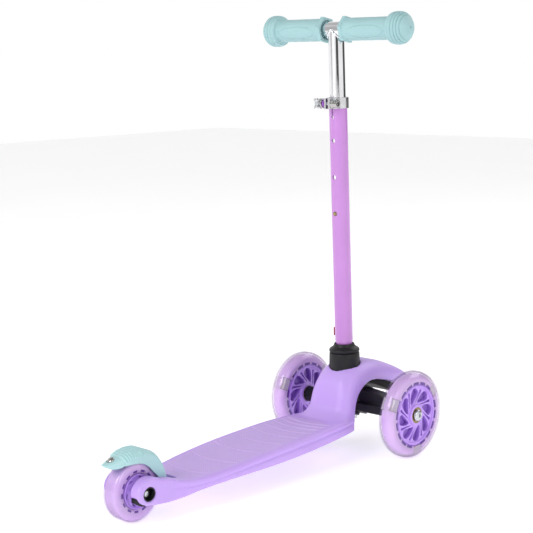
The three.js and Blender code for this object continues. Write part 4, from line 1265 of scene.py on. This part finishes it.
def build_wheel(name, body, x, y, z, front):
    place = TO_ROW @ (Matrix.Translation((x, y, z)) @ ACROSS)

    def add(item, suffix, slot, material, nodes=(), sharp=35):
        piece(item, f"{name}_{suffix}", body, material, nodes, sharp, place)

    turn = -1 if x < 0 else 1
    add(build_core(front, turn), "centre", "violet_plastic", "violet", [f"{name}_core"], 30)
    add(build_tyre(front), "tyre_body", "urethane", "milky", [f"{name}_tyre"], 35)
    outside = whole_section(FRONT_OUTSIDE if front else rear_half(0.0))
    inside = whole_section(FRONT_LAYER if front else rear_half(1.2))
    add(raw_object(revolve(outside + inside[::-1], 160)), "tyre_skin", "urethane", "skin", sharp=35)
    add(build_dashes(front), "rim_dashes", "violet_plastic", "deep_violet")
    if front:
        web = revolve([(14.2, -WEB_HALF), (WEB_R, -WEB_HALF), (WEB_R, WEB_HALF), (14.2, WEB_HALF)], 96)
        add(raw_object(web), "web_plate", "violet_plastic", "deep_violet")
        for i, angle in enumerate(LIGHT_ANGLES):
            case, lamp, coil = build_light(angle)
            add(bevelled(raw_object(case), 0.4, 2, 40), f"light_case_{i + 1}", "clear_plastic", "clear",
                [f"{name}_light_{i + 1}"])
            add(raw_object(lamp), f"light_board_{i + 1}", "clear_plastic", "board")
            add(raw_object(coil), f"light_coil_{i + 1}", "steel", "copper")
    for side, word in ((-1, "left"), (1, "right")):
        add(raw_object(build_bearing(side * BEARING_OUT)), f"race_{word}", "brass", "brass",
            [f"{name}_bearing_{word}"], 30)


def build_front_bolt(side):
    name = "right" if side > 0 else "left"
    face = HALF_TRACK + 11.9 + 0.3
    dome = curve([(7.9, face + 1.7), (7.2, face + 2.8), (5.6, face + 3.8), (3.6, face + 4.4),
                  (2.9, face + 4.5)], 12)
    profile = [(0, 40), (4, 40), (4, face), (7.7, face), (8.0, face + 0.3), (8.0, face + 1.4),
               *dome, (0, face + 4.5)]
    bolt = cut(raw_object(revolve(profile, 72)), rod(2.6, face + 1.6, face + 10, 6))
    bevelled(bolt, 0.12, 2, 40)
    bolt.data.transform(Matrix.Diagonal((side, 1, 1, 1)) @ Matrix.Translation((0, 0, FRONT_WHEEL_R)) @ ACROSS)
    if side < 0:
        bolt.data.flip_normals()
    piece(bolt, f"axle_bolt_{name}", "truck", "steel", [f"front_axle_bolt_{name}"], 30)


# ---------------------------------------------------------------- rear axle and brake


def build_rear_axle():
    for side, word in ((1, "right"), (-1, "left")):
        rounded_copy(f"fork_insert_{word}", f"axle_cup_{word}", "deck", "black_gloss", 0.3)
        rounded_copy(f"rear_spacer_{word}", f"axle_spacer_{word}", "deck", "steel", 0.25)
        heel = [(-442.0, 30.4), (-434.9, 25.6), (-428, 24.2), (-428, 33), (-434.9, 35.9), (-441.6, 35.9)]
        x0, x1 = sorted((side * 18.2, side * 27.6))
        block_shape = prism(rounded_outline(heel, 1.0), x0, x1)
        item = bevelled(raw_object(block_shape.moved(ACROSS)), 0.3, 2, 40)
        piece(item, f"fork_heel_{word}", "deck", "black")
    rounded_copy("rear_axle_bolt", "rear_bolt", "deck", "steel", 0.25)
    rounded_copy("rear_axle_nut", "rear_nut", "deck", "black_gloss", 0.3)


# degrees up from forward, half width, skirt radius, crest radius, edge radius
BRAKE_STATIONS = [
    (-8, 15.3, 34, 47, 2),
    (8, 15.3, 33, 45.6, 2.4),
    (25, 15.3, 32.4, 46.5, 3.4),
    (42, 15.3, 30.5, 48.5, 4.6),
    (60, 15.3, 32.2, 51, 6),
    (80, 15.3, 34.6, 52, 7),
    (97, 15.3, 36.6, 52.4, 7.6),
    (110, 14.6, 39.2, 53, 9),
    (119, 13.2, 41.2, 53.6, 9.6),
    (127, 10.8, 43.4, 55.4, 8.6),
    (132.5, 8, 46, 57.6, 6.2),
    (136, 5.6, 50.4, 59.6, 4.2),
    (138, 3, 56, 61.2, 1.8),
]


# How far the brake curves down beside its middle line, per mm squared, and the place of its rivet.
BRAKE_BOW = 0.0035
RIVET_TURN = 126
RIVET_OUT = 55.2


def around_rear(x, radius, degrees):
    angle = math.radians(degrees)
    return (x, REAR_AXLE[0] + radius * math.cos(angle), REAR_AXLE[1] + radius * math.sin(angle))


def brake_crest(degrees):
    table = curve(BRAKE_STATIONS, 200)
    return [float(np.interp(degrees, table[:, 0], table[:, k])) for k in (1, 3)]


def at_rivet(shape):
    upright = Matrix.Rotation(math.radians(RIVET_TURN) - math.pi / 2, 4, "X")
    return shape.moved(upright).at(*around_rear(0, RIVET_OUT, RIVET_TURN))


def build_brake():
    rings = []
    for degrees, half, low, high, edge in curve(BRAKE_STATIONS, 110):
        edge = min(edge, 0.8 * half, 0.8 * (high - low))
        rings.append([around_rear(x, r - BRAKE_BOW * x * x * min(1, half / 15), degrees)
                      for x, r in corner(half, low, high, 0.8, edge)])
    y, z = BRAKE_PIN
    web = prism([(y, z - 6), (y, z + 6), (y - 9, z + 8), (y - 12, z - 4)], -15.3, 15.3).moved(ACROSS)
    barrel = rod(6, -15.3, 15.3, 64).moved(ACROSS).at(0, y, z)
    shell = fuse(raw_object(loft(rings)), web, barrel)
    ridges = []
    for degrees in np.linspace(80, 115, 9):
        half, crest = brake_crest(degrees)
        section = corner(half - 0.1, crest - 10, crest - 0.2, 0.5, 8)
        over_top = section[CORNER_STEPS : 3 * CORNER_STEPS]
        path = [around_rear(x, r - BRAKE_BOW * x * x, degrees) for x, r in over_top]
        ridges.append(sweep(path, 1.15, 12))
    fuse(shell, joined(ridges))
    cutters = [
        on_rear_axle(rod(42.5, -13, 13, 128)),
        rod(2.7, -40, 40, 32).moved(ACROSS).at(0, y, z),
        block(-5.5, 5.5, y - 6.8, y + 12, z - 15, z + 6.7),
        at_rivet(rod(5.2, -1.2, 20, 48)),
        at_rivet(rod(2.2, -8.3, 20, 32)),
    ]
    cut(shell, *cutters)
    melted(shell, 0.45, 2)
    piece(shell, "brake_fender", "brake", "mint_brake", ["brake_lever"], 60)

    rivet = revolve([(0, -8), (1.9, -8), (1.9, -0.9), (4.2, -0.9), (4.6, -0.6), (4.6, -0.1), (4.2, 0.5),
                     (3.5, 0.9), (2.5, 1.25), (1.3, 1.5), (0, 1.6)], 72)
    item = raw_object(at_rivet(rivet))
    piece(item, "fender_rivet", "brake", "dark_chrome", ["brake_rivet"])
    rounded_copy("brake_plate", "fender_wear_strip", "brake", "steel", 0.2)

    pin = revolve([(0, -22.5), (2.1, -22.5), (2.4, -22.1), (2.4, 22.1), (2.1, 22.5), (0, 22.5)], 40)
    item = raw_object(pin.moved(ACROSS).at(0, y, z))
    piece(item, "fender_hinge_pin", "deck", "steel", ["brake_pin"])
    turns = []
    for t in np.linspace(0, 2 * math.pi * 6, 190):
        turns.append((-4.0 + 8.0 * t / (2 * math.pi * 6), y + 3.6 * math.cos(t), z + 3.6 * math.sin(t)))
    tail = [(4.0, y + 3.9, z - 1.0), (4.0, y + 5.4, z - 3.2), (4.0, y + 6.3, z - 6.0)]
    item = raw_object(sweep(turns + tail, 0.55, 8))
    piece(item, "fender_spring", "deck", "steel", ["brake_spring"])


def finish_inner_nodes():
    """Sealed or nearly hidden CAD pieces keep their own shape under a finished material."""
    looks = {"column_socket": "steel", "button_spring": "steel"}
    looks.update({f"{w}_bearing_spacer": "steel" for w in ("front_right", "front_left", "rear")})
    for node, material in looks.items():
        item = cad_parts[node]
        item.data.materials.clear()
        item.data.materials.append(MATERIALS[material])


# ---------------------------------------------------------------- studio


# Camera fitted to the photo's outlines: place in metres, degrees of heading, pitch and roll, and lens.
CAMERA_PLACE = (1.20763, -1.31434, 0.5557)
CAMERA_TURN = (42.678, 8.853, -0.999)
CAMERA_LENS = 93.56


def build_camera():
    heading, pitch, roll = (math.radians(a) for a in CAMERA_TURN)
    level = math.cos(pitch)
    ahead = Vector((-math.sin(heading) * level, math.cos(heading) * level, -math.sin(pitch)))
    right = Vector((math.cos(heading), math.sin(heading), 0))
    up = right.cross(ahead)
    turned = math.cos(roll) * right + math.sin(roll) * up
    upright = -math.sin(roll) * right + math.cos(roll) * up
    data = bpy.data.cameras.new("camera")
    data.lens = CAMERA_LENS
    data.sensor_width = 36
    camera = bpy.data.objects.new("camera", data)
    bpy.context.scene.collection.objects.link(camera)
    place = Matrix((turned, upright, -ahead)).transposed().to_4x4()
    place.translation = Vector(CAMERA_PLACE)
    camera.matrix_world = place
    bpy.context.scene.camera = camera


def area_light(name, position, target, size, power):
    data = bpy.data.lights.new(name, "AREA")
    data.shape = "RECTANGLE"
    data.size, data.size_y = size
    data.energy = power
    light = bpy.data.objects.new(name, data)
    bpy.context.scene.collection.objects.link(light)
    light.location = position
    light.rotation_euler = (Vector(target) - Vector(position)).to_track_quat("-Z", "Y").to_euler()


# Dark cards round the studio: direction in degrees from +X, half width and strength.
CARDS = ((-45, 17, 0.91), (70, 28, 0.91), (-124, 16, 0.5))


def build_world():
    """White studio, brighter low down than overhead, with dark cards that show in polished metal."""
    world = bpy.data.worlds.new("studio")
    world.use_nodes = True
    tree = world.node_tree

    def add(kind, *inputs, **settings):
        node = tree.nodes.new(kind)
        for key, value in settings.items():
            setattr(node, key, value)
        for socket, value in zip(node.inputs, inputs):
            if isinstance(value, bpy.types.NodeSocket):
                tree.links.new(value, socket)
            else:
                socket.default_value = value
        return node.outputs

    def calculate(operation, *inputs):
        return add("ShaderNodeMath", *inputs, operation=operation)[0]

    direction = add("ShaderNodeTexCoord")["Generated"]
    height = add("ShaderNodeSeparateXYZ", direction)["Z"]
    glow = add("ShaderNodeMapRange", height, 0.42, 0.87, 1.0, 0.33)["Result"]
    level = add("ShaderNodeVectorMath", direction, (1, 1, 0), operation="MULTIPLY")[0]
    level = add("ShaderNodeVectorMath", level, operation="NORMALIZE")[0]
    for degrees, half, strength in CARDS:
        angle = math.radians(degrees)
        towards = (math.cos(angle), math.sin(angle), 0)
        facing = add("ShaderNodeVectorMath", level, towards, operation="DOT_PRODUCT")["Value"]
        edges = math.cos(math.radians(half + 2)), math.cos(math.radians(half - 2))
        dark = add("ShaderNodeMapRange", facing, *edges, 1.0, 1 - strength)["Result"]
        glow = calculate("MULTIPLY", glow, dark)
    seen = add("ShaderNodeLightPath")["Is Camera Ray"]
    strength = calculate("MAXIMUM", glow, seen)
    background = tree.nodes["Background"]
    background.inputs["Color"].default_value = (1, 1, 1, 1)
    tree.links.new(strength, background.inputs["Strength"])
    bpy.context.scene.world = world


def build_studio():
    mesh = bpy.data.meshes.new("floor")
    mesh.from_pydata([(-6, -6, 0), (6, -6, 0), (6, 6, 0), (-6, 6, 0)], [], [(0, 1, 2, 3)])
    floor = bpy.data.objects.new("floor", mesh)
    bpy.context.scene.collection.objects.link(floor)
    n = Nodes("floor_paper")
    n.colour(n.mix(n.remap(n.noise(3.0, 2.0), 0.0, 1.0), (0.8, 0.8, 0.8), (0.84, 0.84, 0.84)))
    n.roughness(n.remap(n.noise(40.0, 3.0), 0.6, 0.7))
    n.set(Emission_Color=(1, 1, 1, 1), Emission_Strength=0.5)
    mesh.materials.append(n.material)
    bpy.context.scene.view_settings.view_transform = "Standard"
    build_world()
    target = (0, 0, 0.25)
    area_light("key", (-0.4, -2.6, 2.2), target, (1.6, 1.6), 46)
    area_light("fill", (2.4, -0.6, 1.6), target, (1.4, 1.8), 14)
    area_light("rim", (0.6, 2.4, 1.8), target, (1.6, 1.2), 20)


build_studio()
build_camera()
build_deck()
build_tread_lines()
build_column_parts()
build_clamp()
build_handlebar()
build_truck()
build_wheel("front_right", "front_right_wheel", HALF_TRACK, 0, FRONT_WHEEL_R, True)
build_wheel("front_left", "front_left_wheel", -HALF_TRACK, 0, FRONT_WHEEL_R, True)
build_wheel("rear", "rear_wheel", 0, -WHEELBASE, REAR_WHEEL_R, False)
build_front_bolt(1)
build_front_bolt(-1)
build_rear_axle()
build_brake()
finish_inner_nodes()
